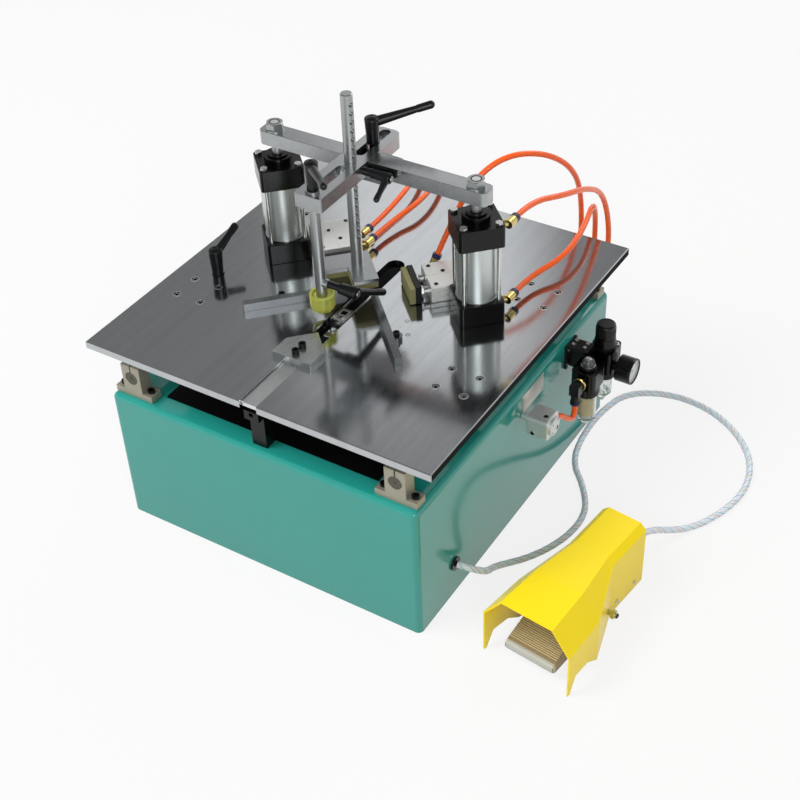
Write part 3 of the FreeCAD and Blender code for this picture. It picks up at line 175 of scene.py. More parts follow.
def make_materials(settings):
    """Every finish of the machine, by the name that the parts use."""
    ground = (1, 60, 1)
    return {
        # stoved gloss enamel, sprayed on sheet: a soft mirror with orange peel about 2 mm across
        "enamel": surface("gloss_enamel", settings.enamel, 0, 0.14, 0.04, 90, 2.2, bump_mm=0.005,
                          rough_vary=0.03, coat=0.3),
        # surface-ground tool steel: nearly a mirror, lined along Y; the real lines are under 0.1 mm apart,
        # and are drawn 0.5 mm apart with 14 mm bands so that they show
        "ground": surface("ground_steel", "#BEC1C4", 1, 0.12, 0.12, 14, 0.5, ground, 0.0012, 0.05),
        # hard chrome on ground shafting: a clean mirror with hardly any grain
        "chrome": surface("hard_chrome", "#D9DADB", 1, 0.07, 0.03, 30, 0.4, (1, 30, 1), 0.001, 0.02),
        # sand-cast aluminium alloy, tumbled: dull warm grey, lightly pitted
        "alloy": surface("sand_cast_alloy", "#A39E8E", 0.5, 0.42, 0.1, 12, 0.5, bump_mm=0.02),
        # clear anodised aluminium: pale satin with faint lines from the die
        "clamp_alloy": surface("clear_anodised_alloy", "#DADBD8", 0.4, 0.36, 0.03, 30, 0.5, (1, 12, 1),
                               0.003),
        # die-cast zinc alloy: light grey with a slightly uneven sheen
        "die_cast": surface("die_cast_alloy", "#CDD1D1", 0.6, 0.3, 0.08, 10, 0.5, bump_mm=0.01),
        # drawn aluminium tube, anodised: soft bright streaks that run up the barrel
        "barrel": surface("drawn_tube", "#CBD1CF", 0.9, 0.36, 0.03, 30, 0.5, (1, 1, 40), 0.002, 0.03),
        # milled and stoned steel: even grey satin, a little blotched by handling
        "machined": surface("machined_steel", "#A9ACAD", 1, 0.25, 0.12, 9, 0.4, bump_mm=0.004),
        # surface-ground flat bar: darker steel with soft lines along X
        "ground_flat": surface("surface_ground_bar", "#85888A", 1, 0.3, 0.1, 9, 0.4, (12, 1, 1), 0.002),
        # bright drawn steel: pale and silky, lined along Y; drawn 0.4 mm apart, coarser than the real
        # lines, so that they show
        "bright": surface("bright_drawn_steel", "#DDE0E0", 1, 0.3, 0.08, 12, 0.4, ground, 0.001, 0.05),
        # turned and polished round bar: smooth satin; its tool marks are far finer than the 0.6 mm drawn
        # here, which is what still shows
        "turned": surface("turned_steel", "#AEB1B1", 1, 0.36, 0.03, 20, 0.6, (1, 1, 12), 0.001, 0.02),
        # bright zinc plate on screws and nuts: pale with a quick glint
        "zinc": surface("zinc_plate", "#C9CBC8", 1, 0.24, 0.06, 5, 0.3, bump_mm=0.002),
        # black stove enamel on castings: deep black with a small sharp gloss
        "black_metal": surface("black_enamelled_casting", "#040404", 0, 0.2, 0.2, 12, 0.5, bump_mm=0.003,
                               rough_vary=0.04, Specular_IOR_Level=0.3),
        # black oxide on steel: oily blue-black with a low sheen
        "oxide": surface("black_oxide", "#0B0C0D", 0.4, 0.34, 0.2, 10, 0.3, bump_mm=0.005),
        # sawn and centre-drilled steel end: dull, brownish and rough
        "end_grain": surface("sawn_steel_end", "#5D5B50", 0.7, 0.45, 0.15, 3, 0.3, bump_mm=0.02),
        # machined brass: warm and bright
        "brass": surface("machined_brass", "#D2BC78", 1, 0.22, 0.08, 10, 0.3, bump_mm=0.003),
        # moulded acetal: navy and waxy
        "collar": surface("navy_acetal", "#141B4E", 0, 0.3, 0.1, 8, 0.3, bump_mm=0.003),
        # extruded polyurethane: full orange, glossy, with a slight glow at its edges
        "tube": surface("orange_polyurethane", settings.tube_orange, 0, 0.26, 0.03, 12, 1.2, bump_mm=0.003,
                        Subsurface_Weight=0.1, Subsurface_Scale=0.004),
        # clear hose over woven yarn: milky under the gloss, with a weave just under 1 mm
        "sheath": surface("clear_braided_hose", "#DDE6EB", 0, 0.26, 0.05, 3, 0.8, bump_mm=0.03,
                          Subsurface_Weight=0.3, Subsurface_Scale=0.003),
        # dyed polyester yarn: matt and soft
        "tracer_blue": surface("blue_yarn", "#7FA6D6", 0, 0.6, 0.15, 4, 0.5, bump_mm=0.02),
        # dyed polyester yarn: matt and soft
        "tracer_red": surface("red_yarn", "#DE8A86", 0, 0.6, 0.15, 4, 0.5, bump_mm=0.02),
        # powder coat on sheet steel: flat strong yellow, low gloss, fine peel about 2 mm across
        "guard": surface("yellow_powder_coat", settings.guard_yellow, 0, 0.34, 0.015, 60, 1.8, bump_mm=0.002,
                         rough_vary=0.03, Specular_IOR_Level=0.35),
        # moulded rubber: matt and slightly rough
        "khaki": surface("khaki_rubber", settings.pad_khaki, 0, 0.75, 0.12, 4, 0.5, bump_mm=0.06),
        # cast polyurethane: cloudy yellow that lets light through at the rim
        "cup": surface("cast_polyurethane", settings.cup_yellow, 0, 0.16, 0.06, 5, 0.8, bump_mm=0.01,
                       Subsurface_Weight=0.3, Subsurface_Scale=0.006, Transmission_Weight=0.6, IOR=1.45),
        # glass-filled nylon: black and faintly pebbled; the real pebbles are finer than the 0.35 mm drawn
        # here
        "moulded": surface("black_nylon", "#07080A", 0, 0.27, 0.2, 6, 0.35, bump_mm=0.01,
                           Specular_IOR_Level=0.4),
        # painted shade: flat black with no gloss, standing for the shade in recesses and holes, under the
        # table and on the table's right edge
        "painted_shade": surface("flat_black_shade", "#020202", 0, 0.7, 0.2, 6, 0.4, bump_mm=0.01,
                             Specular_IOR_Level=0.1),
        # moulded nylon: tan and matt
        "treadle": surface("tan_nylon", "#8A7A5C", 0, 0.5, 0.08, 8, 0.4, bump_mm=0.01),
        # the same nylon, rubbed pale by shoes
        "rib": surface("worn_tan_nylon", "#C4B48A", 0, 0.45, 0.08, 5, 0.4, bump_mm=0.01),
        # grey nylon, moulded smooth
        "lip": surface("grey_nylon", "#BDBEB6", 0, 0.4, 0.05, 10, 0.5, bump_mm=0.01),
        # moulded polycarbonate: clear with a bright rim
        "clear": surface("clear_polycarbonate", "#F4F7F5", 0, 0.05, 0.02, 10, 1.5, bump_mm=0.002,
                         Transmission_Weight=0.92, IOR=1.4),
        # light mineral oil: amber, part clear
        "oil": surface("pneumatic_oil", "#DDBE66", 0, 0.05, 0.06, 6, 1.5, bump_mm=0.001,
                       Transmission_Weight=0.35, IOR=1.4),
        # coated card: matt white
        "dial": surface("dial_card", "#F2F2EE", 0, 0.5, 0.02, 8, 0.5, bump_mm=0.002),
        # printing ink: flat black
        "mark": surface("dial_ink", "#15171A", 0, 0.5, 0.05, 4, 0.5, bump_mm=0.001),
        # etched aluminium sheet: pale satin, brushed along Y
        "plate": surface("etched_aluminium", "#C9C7C0", 0.5, 0.38, 0.05, 10, 0.4, (1, 20, 1), 0.002),
        # matt studio paper: white to the eye, and it takes a soft shadow
        "floor": studio_floor(),
    }


FINISHES = {}

NODE_FINISH = {
    "cabinet": "enamel", "shaft_supports": "alloy", "support_screws": "oxide", "guide_shafts": "chrome",
    "nail_head": "machined", "nail_magazine": "oxide", "driver_cylinder": "alloy", "driver_rod": "turned",
    "unit_bracket": "oxide", "filter_regulator": "black_metal", "gauge_case": "black_metal",
    "gauge_dial": "dial", "lubricator": "black_metal", "clear_bowls": "clear", "elbow_fitting": "moulded",
    "air_valve": "die_cast", "grommet": "moulded", "rear_ports": "brass", "feed_hose": "tube",
    "foot_hose": "sheath", "pedal_guard": "guard", "pedal_base": "oxide", "pedal_valve": "alloy",
    "pedal_axle": "zinc", "table_plate": "ground", "bearing_blocks": "alloy", "table_screws": "oxide",
    "fence_bars": "ground_flat", "base_caps": "black_metal", "barrels": "barrel", "top_caps": "black_metal",
    "tie_rods": "zinc", "clamp_bodies": "clamp_alloy", "air_fittings": "brass", "fitting_collars": "collar",
    "air_hoses": "tube", "front_stop": "bright", "stop_bar": "bright", "stop_screws": "oxide",
    "piston_rods": "turned",
    "crossbar": "machined", "saddle": "machined", "arm": "machined", "presser_rod": "turned",
    "notched_post": "turned", "post_presser": "machined", "post_pad": "khaki", "presser_stem": "turned",
    "presser_cup": "cup", "table_lock_lever": "moulded", "arm_lever": "moulded", "post_lever": "moulded",
    "presser_lever": "moulded", "cup_lever": "moulded", "right_clamp_plate": "oxide",
    "right_clamp_pad": "khaki", "left_clamp_plate": "oxide", "left_clamp_pad": "khaki",
    "regulator_knob": "moulded", "treadle": "treadle",
}


SMOOTH_TO, EASED_SMOOTH_TO, BROKEN_FROM = 32, 18, 40       # degrees between faces

# nodes whose edges are broken: width in millimetres, and the body
EASED = {
    "crossbar": (0.45, "press_head"), "saddle": (0.45, "press_head"), "arm": (0.5, "arm"),
    "front_stop": (0.7, "front_stop"), "stop_bar": (0.6, "front_stop"), "fence_bars": (0.7, "table"),
    "post_presser": (0.6, "post"), "clamp_bodies": (0.5, "table"), "base_caps": (0.8, "table"),
    "top_caps": (0.8, "table"), "shaft_supports": (0.7, "cabinet"), "nail_head": (0.5, "cabinet"),
    "air_valve": (1.0, "cabinet"), "elbow_fitting": (1.2, "cabinet"),
    "right_clamp_plate": (0.5, "right_clamp"),
    "left_clamp_plate": (0.5, "left_clamp"), "right_clamp_pad": (0.8, "right_clamp"),
    "left_clamp_pad": (0.8, "left_clamp"), "post_pad": (0.8, "post"), "bearing_blocks": (0.7, "table"),
}


def paint(name, finish):
    """Gives a CAD node its finish."""
    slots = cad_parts[name].material_slots
    if not slots:
        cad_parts[name].data.materials.append(FINISHES[finish])
    for slot in slots:
        slot.material = FINISHES[finish]


# ---------------------------------------------------------------- mesh helpers, in millimetres
def piece(name, mesh, finish, body, scale=MM, sharp=SMOOTH_TO):
    """Links a mesh as a piece that rides on a body; scale takes its coordinates to metres, and edges of
    more than sharp degrees stay crisp."""
    made = bpy.data.objects.new(name, mesh)
    bpy.context.collection.objects.link(made)
    mesh.transform(Matrix.Scale(scale, 4))
    mesh.materials.clear()
    mesh.materials.append(FINISHES[finish])
    for face in mesh.polygons:
        face.use_smooth = True
    mesh.set_sharp_from_angle(angle=math.radians(sharp))
    if body:
        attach(made, body)
    return made


def lathe(name, profile, segments=32, hollow=False):
    """Form of revolution about Z from (radius, height) pairs; a hollow one closes on its own profile."""
    rows = []
    shape = bmesh.new()
    for radius, height in profile:
        rows.append([shape.verts.new((radius * math.cos(2 * math.pi * k / segments),
                                      radius * math.sin(2 * math.pi * k / segments), height))
                     for k in range(segments)])
    pairs = list(zip(rows, rows[1:])) + ([(rows[-1], rows[0])] if hollow else [])
    for low, high in pairs:
        for k in range(segments):
            n = (k + 1) % segments
            shape.faces.new((low[k], low[n], high[n], high[k]))
    if not hollow:
        shape.faces.new(list(reversed(rows[0])))
        shape.faces.new(rows[-1])
    mesh = bpy.data.meshes.new(name)
    shape.to_mesh(mesh)
    shape.free()
    return mesh


def ring(inner, outer, low, high, segments=32):
    """Band with its outer edges broken."""
    edge = min(0.25, (outer - inner) / 4, (high - low) / 4)
    return lathe("ring", ((inner, low), (outer - edge, low), (outer, low + edge), (outer, high - edge),
                          (outer - edge, high), (inner, high)), segments, True)


def disc(radius, low, high, segments=24):
    """Round head with its top edge broken."""
    edge = min(0.5, radius / 4, (high - low) / 2)
    return lathe("disc", ((radius, low), (radius, high - edge), (radius - edge, high)), segments)


def socket_head(radius, height, socket):
    """Screw head with its top edge broken and a blind socket in it."""
    edge = radius * 0.12
    return lathe("head", ((radius, 0), (radius, height - edge), (radius - edge, height),
                          (socket, height), (socket, height * 0.45)), 24)


def slab(size, bevel=0.4, segments=2):
    """Block with rounded edges, centred on the origin."""
    shape = bmesh.new()
    bmesh.ops.create_cube(shape, size=1)
    bmesh.ops.scale(shape, vec=size, verts=shape.verts)
    bmesh.ops.bevel(shape, geom=shape.edges[:], offset=bevel, segments=segments, profile=0.5, affect="EDGES")
    mesh = bpy.data.meshes.new("slab")
    shape.to_mesh(mesh)
    shape.free()
    return mesh


def facing(place, axis=Z, spin=0.0):
    """Matrix that stands a Z-up form at a place, along an axis."""
    turn = Vector(axis).to_track_quat("Z", "Y").to_matrix().to_4x4()
    return Matrix.Translation(place) @ turn @ Matrix.Rotation(spin, 4, "Z")


def moved(mesh, matrix):
    """The same mesh, put in its place."""
    mesh.transform(matrix)
    return mesh


def joined(name, meshes):
    """One mesh of several."""
    shape = bmesh.new()
    for mesh in meshes:
        shape.from_mesh(mesh)
    whole = bpy.data.meshes.new(name)
    shape.to_mesh(whole)
    shape.free()
    return whole


def eased(node, width):
    """Copy of a machined node with its edges broken, so that they catch the light; in millimetres."""
    shape = bmesh.new()
    shape.from_mesh(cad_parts[node].data)
    bmesh.ops.scale(shape, vec=(1 / MM,) * 3, verts=shape.verts)
    bmesh.ops.remove_doubles(shape, verts=shape.verts, dist=0.005)
    bmesh.ops.dissolve_limit(shape, angle_limit=math.radians(0.4), verts=shape.verts, edges=shape.edges)
    sharp = [edge for edge in shape.edges
             if len(edge.link_faces) == 2 and edge.calc_face_angle() > math.radians(BROKEN_FROM)]
    bmesh.ops.bevel(shape, geom=sharp, offset=width, segments=1, affect="EDGES", clamp_overlap=True)
    mesh = bpy.data.meshes.new(node + "_eased")
    shape.to_mesh(mesh)
    shape.free()
    return mesh


def swept(name, line, radius, sides=6):
    """Closed round strand through a line of points."""
    shape = bmesh.new()
    rows = []
    side = Vector((0.3, 0.2, 1))
    for k, place in enumerate(line):
        ahead = (line[min(k + 1, len(line) - 1)] - line[max(k - 1, 0)]).normalized()
        side = (side - ahead * side.dot(ahead)).normalized()
        other = ahead.cross(side)
        rows.append([shape.verts.new(place + radius * (side * math.cos(a) + other * math.sin(a)))
                     for a in (2 * math.pi * n / sides for n in range(sides))])
    for low, high in zip(rows, rows[1:]):
        for k in range(sides):
            n = (k + 1) % sides
            shape.faces.new((low[k], low[n], high[n], high[k]))
    shape.faces.new(list(reversed(rows[0])))
    shape.faces.new(rows[-1])
    mesh = bpy.data.meshes.new(name)
    shape.to_mesh(mesh)
    shape.free()
    return mesh


def wound(line, offset, pitch, phase):
    """Line that winds round another one."""
    points, along = [], 0.0
    side = Vector((0.3, 0.2, 1))
    for k, place in enumerate(line):
        ahead = (line[min(k + 1, len(line) - 1)] - line[max(k - 1, 0)]).normalized()
        side = (side - ahead * side.dot(ahead)).normalized()
        along += (place - line[max(k - 1, 0)]).length
        angle = 2 * math.pi * along / pitch + phase
        points.append(place + offset * (side * math.cos(angle) + ahead.cross(side) * math.sin(angle)))
    return points


def spread(name, mesh, places, finish, body, size=1.0):
    """Copies a small part to many places with Geometry Nodes and keeps the result as a plain mesh."""
    part = bpy.data.objects.new(name + "_part", mesh)
    points = bpy.data.meshes.new(name + "_points")
    points.from_pydata([m.to_translation() for m in places], [], [])
    turns = points.attributes.new("turn", "FLOAT_VECTOR", "POINT")
    for k, m in enumerate(places):
        turns.data[k].vector = Vector(m.to_euler("XYZ"))
    holder = bpy.data.objects.new(name + "_holder", points)
    bpy.context.collection.objects.link(holder)
    bpy.context.collection.objects.link(part)
    group = bpy.data.node_groups.new(name + "_spread", "GeometryNodeTree")
    group.interface.new_socket("Geometry", in_out="INPUT", socket_type="NodeSocketGeometry")
    part_socket = group.interface.new_socket("Part", in_out="INPUT", socket_type="NodeSocketObject")
    size_socket = group.interface.new_socket("Size", in_out="INPUT", socket_type="NodeSocketFloat")
    group.interface.new_socket("Geometry", in_out="OUTPUT", socket_type="NodeSocketGeometry")
    source = add(group, "NodeGroupInput")
    look = add(group, "GeometryNodeObjectInfo", {"Object": source.outputs["Part"]})
    turn = add(group, "GeometryNodeInputNamedAttribute", {"Name": "turn"}, data_type="FLOAT_VECTOR")
    copies = add(group, "GeometryNodeInstanceOnPoints", {
        "Points": source.outputs["Geometry"], "Instance": look.outputs["Geometry"],
        "Rotation": turn.outputs["Attribute"], "Scale": source.outputs["Size"]})
    solid = add(group, "GeometryNodeRealizeInstances", {"Geometry": copies.outputs["Instances"]})
    coloured = add(group, "GeometryNodeSetMaterial", {"Geometry": solid.outputs["Geometry"],
                                                      "Material": FINISHES[finish]})
    add(group, "NodeGroupOutput", {"Geometry": coloured.outputs["Geometry"]})
    work = holder.modifiers.new("spread", "NODES")
    work.node_group = group
    work[part_socket.identifier] = part
    work[size_socket.identifier] = size
    bpy.context.view_layer.update()
    seen = holder.evaluated_get(bpy.context.evaluated_depsgraph_get())
    baked = bpy.data.meshes.new_from_object(seen)
    for unused in (holder, part):
        bpy.data.objects.remove(unused)
    return piece(name, baked, finish, body)


def spline(name, points, radius):
    """Round tube on a smooth curve through the neighbourhood of its control points, in millimetres."""
    curve = bpy.data.curves.new(name, "CURVE")
    curve.dimensions = "3D"
    line = curve.splines.new("NURBS")
    line.points.add(len(points) - 1)
    for point, place in zip(line.points, points):
        point.co = (place[0] * MM, place[1] * MM, place[2] * MM, 1)
    line.order_u = 3
    line.use_endpoint_u = True
    line.resolution_u = 10
    curve.bevel_depth = radius
    curve.bevel_resolution = 5
    curve.use_fill_caps = radius > 0
    return curve


def centre_line(points):
    """Points in millimetres along the smooth curve that a tube follows."""
    curve = spline("line", points, 0)
    curve.resolution_u = curve.splines[0].resolution_u = 60
    curve.use_fill_caps = False
    holder = bpy.data.objects.new("line", curve)
    mesh = bpy.data.meshes.new_from_object(holder)
    line = [v.co / MM for v in mesh.vertices]
    bpy.data.objects.remove(holder)
    return line


def curve_piece(name, curve, finish, body):
    """Links a tube as a piece that rides on a body."""
    made = bpy.data.objects.new(name, curve)
    bpy.context.collection.objects.link(made)
    curve.materials.append(FINISHES[finish])
    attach(made, body)
    return made


# ---------------------------------------------------------------- routes of the tubes, in millimetres
PORT_BACK, PORT_Z, LOOP_BACK = 279.5, 196.0, 351.5

TABLE_ROUTES = {
    194.0: ((183.8, 80.4, 421.5), (183.8, 122, 421.5), (200, 182, 403), (200, 250, 378), (192, 325, 330),
            (194, 352, 262)),
    172.0: ((183.8, 80.4, 305), (183.8, 120, 305), (208, 175, 312), (205, 240, 320), (184, 315, 318),
            (172, 352, 262)),
    150.0: ((57.2, 95.0, 316.6), (70.4, 113.5, 364.1), (84, 145, 412), (113, 182, 440), (146, 238, 424),
            (162, 296, 372), (152, 345, 290)),
    -70.0: ((-53.3, 105.1, 302.5), (-53.3, 148, 302.5), (-38, 215, 310), (-55, 300, 305), (-70, 352, 258)),
    -92.0: ((-71.7, 123.5, 302.5), (-71.7, 165, 302.5), (-75, 235, 310), (-92, 305, 303), (-92, 352, 256)),
}
FEED_ROUTE = ((279, 80, 153), (279, 80, 127), (278, 60, 139), (274, 40, 161), (274, 24, 161))
FLOOR_Z = 4.7
FOOT_ROUTE = ((262, -118), (298, -78), (322, -24), (326, 34), (298, 82), (260, 122), (247, 182), (247, 246),
              (262, 304), (320, 334), (384, 330), (442, 298), (484, 248), (499, 186), (486, 124), (456, 70))
FOOT_START = ((242.2, -178, 53), (278.2, -170, 47))
FOOT_END = ((415.1, 16.6, 35), (409.3, -30.2, 40))
TRACER_OUT, TRACER_PITCH, TRACER_RADIUS = 4.3, 34, 0.4

# ---------------------------------------------------------------- studio, in metres and watts
LAMPS = (("key", (-1.2, -1.4, 2.6), 1.6, 68), ("fill", (1.6, -2.1, 1.5), 1.3, 22),
         ("back", (0.4, 2.6, 2.2), 1.8, 26))
LAMP_AIM = Vector((0, 0, 0.25))
CAMERA_PLACE, CAMERA_TURN = (0.9112, -1.3022, 1.4085), (50.519, 2.112, 31.831)
FLOOR_HALF, PAPER_GLOW, AMBIENT = 30, 0.82, 0.42
# what mirrors see: a strip window in a dim ceiling; its edges are sines of angles
WINDOW_SIDE = (-0.848, -0.530, 0)          # points across the window
WINDOW_EDGE, WINDOW_END, WALL_END = (0.04, 0.115), (0.605, 0.64), (0.28, 0.48)
WINDOW_GLOW, END_GLOW, CEILING_GLOW = 1.05, 0.36, 0.26

# ---------------------------------------------------------------- places on the machine, in millimetres
TABLE_TOP, CABINET_TOP, WALL_X = 290.0, 211.0, 238.0
SHAFT_X, SHAFT_END, SHAFT_Z = 204, 255.5, 242
BLOCK_Y, BLOCK_PITCH = 105.5, 20
BAND_Z, GLAND_Z, NUT_Z, STUD_Z = (321.1, 403.9), 445, 492.85, 490.8
CLAMP_TOP, CLAMP_ROD_X, CLAMP_ROD_Z = 25, 67, 12.5
NAIL_Y = -52                               # middle of the nail window
CYLINDERS = [Vector((x, 33.5, 0)) for x in (-152.5, 152.5)]
BLOCK_SCREWS = [Vector((sx * SHAFT_X + dx, sy * BLOCK_Y + dy, TABLE_TOP)) for sx in (-1, 1) for sy in (-1, 1)
                for dx in (-BLOCK_PITCH, BLOCK_PITCH) for dy in (-BLOCK_PITCH, BLOCK_PITCH)]
CLAMPS = {
    "right_clamp": Matrix.Rotation(math.radians(45), 4, "Z") @ Matrix.Translation((0, -18.4, TABLE_TOP)),
}
CLAMPS["left_clamp"] = Matrix.Scale(-1, 4, X) @ CLAMPS["right_clamp"]
PEDAL = Matrix.Translation((409, -33, 0)) @ Matrix.Rotation(math.radians(-7), 4, "Z")
UNIT_X, FILTER_Y, OILER_Y = 279.0, 168.0, 116.0
GAUGE_X, GAUGE_Z, DIAL_X = 325, 164, 321
VALVE_Y, VALVE_Z, VALVE_FACE = 4, 171, 287
RIB_COUNT = 32
# lever's body: foot of its hub, axis, height and radius of the hub, finish of the screw in it
HUBS = {
    "table_lock_lever": ((-204, -59, 290), Z, 40, 10, "moulded"),
    "arm_lever": ((-19, 65, 482), Z, 36, 10, "moulded"),
    "presser_lever": ((-19, -72, 485), Z, 38, 9, "moulded"),
    "post_lever": ((14, 12, 472), X, 27, 7.5, "zinc"),
    "cup_lever": ((11.5, -72, 346), X, 26, 9, "zinc"),
}


class UNDERPINNER_OT_finishes(bpy.types.Operator):
    """Gives every CAD node its material"""
    bl_idname = "underpinner.finishes"
    bl_label = "Finishes"

    def execute(self, context):
        FINISHES.update(make_materials(context.scene.underpinner))
        for name, finish in NODE_FINISH.items():
            paint(name, finish)
        return {"FINISHED"}


class UNDERPINNER_OT_broken_edges(bpy.types.Operator):
    """Machined and cast parts with their edges broken"""
    bl_idname = "underpinner.broken_edges"
    bl_label = "Broken edges"

    def execute(self, context):
        for node, (width, body) in EASED.items():
            made = piece(node + "_eased", eased(node, width), NODE_FINISH[node], body,
                         sharp=EASED_SMOOTH_TO)
            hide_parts(node)
        return {"FINISHED"}


class UNDERPINNER_OT_tubes(bpy.types.Operator):
    """Air tubes of the table, feed tube and pedal tube"""
    bl_idname = "underpinner.tubes"
    bl_label = "Air tubes"

    def execute(self, context):
        settings = context.scene.underpinner
        shape = bmesh.new()
        for x, route in TABLE_ROUTES.items():
            points = list(route) + [(x, LOOP_BACK, PORT_Z), (x, PORT_BACK, PORT_Z)]
            holder = bpy.data.objects.new("line", spline("line", points, settings.tube_radius))
            shape.from_mesh(bpy.data.meshes.new_from_object(holder))
            bpy.data.objects.remove(holder)
        mesh = bpy.data.meshes.new("table_tubes")
        shape.to_mesh(mesh)
        shape.free()
        tubes = piece("table_tubes", mesh, "tube", None, scale=1)
        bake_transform(tubes)
        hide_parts("air_hoses")
        feed = spline("feed_tube", FEED_ROUTE, settings.tube_radius)
        feed = curve_piece("feed_tube", feed, "tube", "cabinet")
        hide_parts("feed_hose")
        points = list(FOOT_START) + [(x, y, FLOOR_Z) for x, y in FOOT_ROUTE] + list(FOOT_END)
        foot = spline("pedal_tube", points, settings.bundle_radius)
        foot = curve_piece("pedal_tube", foot, "sheath", "cabinet")
        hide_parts("foot_hose")
        line = centre_line(points)
        yarns = (("blue_tracer", "tracer_blue", 0.0), ("red_tracer", "tracer_red", 2.2),
                 ("blue_tracer_2", "tracer_blue", 3.6))
        for name, finish, phase in yarns:
            yarn = swept(name, wound(line, TRACER_OUT, TRACER_PITCH, phase), TRACER_RADIUS)
            piece(name, yarn, finish, "cabinet")
        return {"FINISHED"}


class UNDERPINNER_OT_table_trim(bpy.types.Operator):
    """Rims and sockets of the table's screws, shaft ends, and painted shade: a black sheet under the table
    and a black strip on its right edge
    """
    bl_idname = "underpinner.table_trim"
    bl_label = "Table trim"

    def execute(self, context):
        seats = [facing(p) for p in BLOCK_SCREWS]
        spread("screw_rims", ring(5.05, 6.1, -0.1, 0.15), seats, "bright", "table")
        spread("screw_sockets", ring(2.6, 4.5, -1.05, -0.75, 6), seats, "turned", "table")
        fence = [Vector((side * 90.5, -39.7, 301)) for side in (-1, 1)]
        spread("fence_sockets", ring(2.3, 3.4, -0.1, 0.2, 6), [facing(p) for p in fence], "turned", "table")
        ends = [facing((x, y * SHAFT_END, SHAFT_Z), Y * y) for x in (-SHAFT_X, SHAFT_X) for y in (-1, 1)]
        spread("shaft_ends", lathe("end", ((9.6, 0), (9.6, 0.4), (3.2, 0.4), (2.2, -0.3)), 32), ends,
               "end_grain", "cabinet")
        # painted shadow: a flat black sheet on the cabinet's top between the shafts, standing for the shadow
        # under the table
        shade_sheet = moved(slab((332, 472, 1.4), 0.3), Matrix.Translation((0, 0, CABINET_TOP + 0.9)))
        piece("slot_mat", shade_sheet, "painted_shade", "cabinet")
        # painted shade: a thin flat black sheet on the table's right edge face, which is darker than the
        # other edges only because of how the light falls
        strip = moved(slab((0.5, 532, 9.2), 0.15, 1), Matrix.Translation((262.6, 0, 284)))
        piece("edge_strip", strip, "painted_shade", "table")
        return {"FINISHED"}


class UNDERPINNER_OT_cylinder_trim(bpy.types.Operator):
    """Bands, gland rings and stud rings of the press cylinders"""
    bl_idname = "underpinner.cylinder_trim"
    bl_label = "Press cylinders"

    def execute(self, context):
        bands = [facing(p + Z * z) for p in CYLINDERS for z in BAND_Z]
        spread("barrel_bands", ring(26.6, 27.7, 0, 2), bands, "zinc", "table")
        glands = [facing(p + Z * GLAND_Z) for p in CYLINDERS]
        spread("gland_rings", ring(8.2, 14, 0, 2.4, 40), glands, "black_metal", "table")
        spread("wiper_rings", ring(7.3, 8.6, 0, 3.2), glands, "oxide", "table")
        nuts = [facing(p + Z * NUT_Z) for p in CYLINDERS]
        spread("stud_rings", ring(6.0, 7.1, 0, 0.35), nuts, "oxide", "press_head")
        studs = [facing(p + Z * STUD_Z) for p in CYLINDERS]
        spread("stud_ends", disc(5.9, 0, 2.2), studs, "bright", "press_head")
        return {"FINISHED"}


class UNDERPINNER_OT_clamp_trim(bpy.types.Operator):
    """Screws, nuts and rod sleeves of the two side clamps"""
    bl_idname = "underpinner.clamp_trim"
    bl_label = "Side clamps"

    def execute(self, context):
        corners = [(88, -22), (88, 22), (146, -22), (146, 22), (104, 6), (128, -6)]
        tops = [place @ Matrix.Translation((a, b, CLAMP_TOP))
                for place in CLAMPS.values() for a, b in corners]
        tops = [facing(m.to_translation()) for m in tops]
        spread("clamp_screws", socket_head(2.7, 0.9, 1.4), tops, "oxide", "table")
        spread("clamp_screw_rims", ring(2.8, 3.6, -0.1, 0.25), tops, "zinc", "table")
        for body, place in CLAMPS.items():
            push = (place.to_3x3() @ X).normalized()
            rods = [facing(place @ Vector((CLAMP_ROD_X, b, CLAMP_ROD_Z)), push) for b in (-15, 15)]
            spread(body + "_sleeves", ring(4.9, 5.35, 5, 12.6, 24), rods, "zinc", body)
            spread(body + "_nuts", ring(4.9, 7.2, 0.2, 4.6, 6), rods, "bright", body)
            middle = facing(place @ Vector((CLAMP_ROD_X, 0, CLAMP_ROD_Z)), push)
            spread(body + "_pin", ring(3.4, 4.6, 0.2, 3.4, 6), [middle], "bright", body)
            ends = [facing(place @ Vector((59.2, b, 20.4)), -push) for b in (-20, 20)]
            spread(body + "_plate_screws", socket_head(2.2, 0.8, 1.2), ends, "zinc", body)
        return {"FINISHED"}


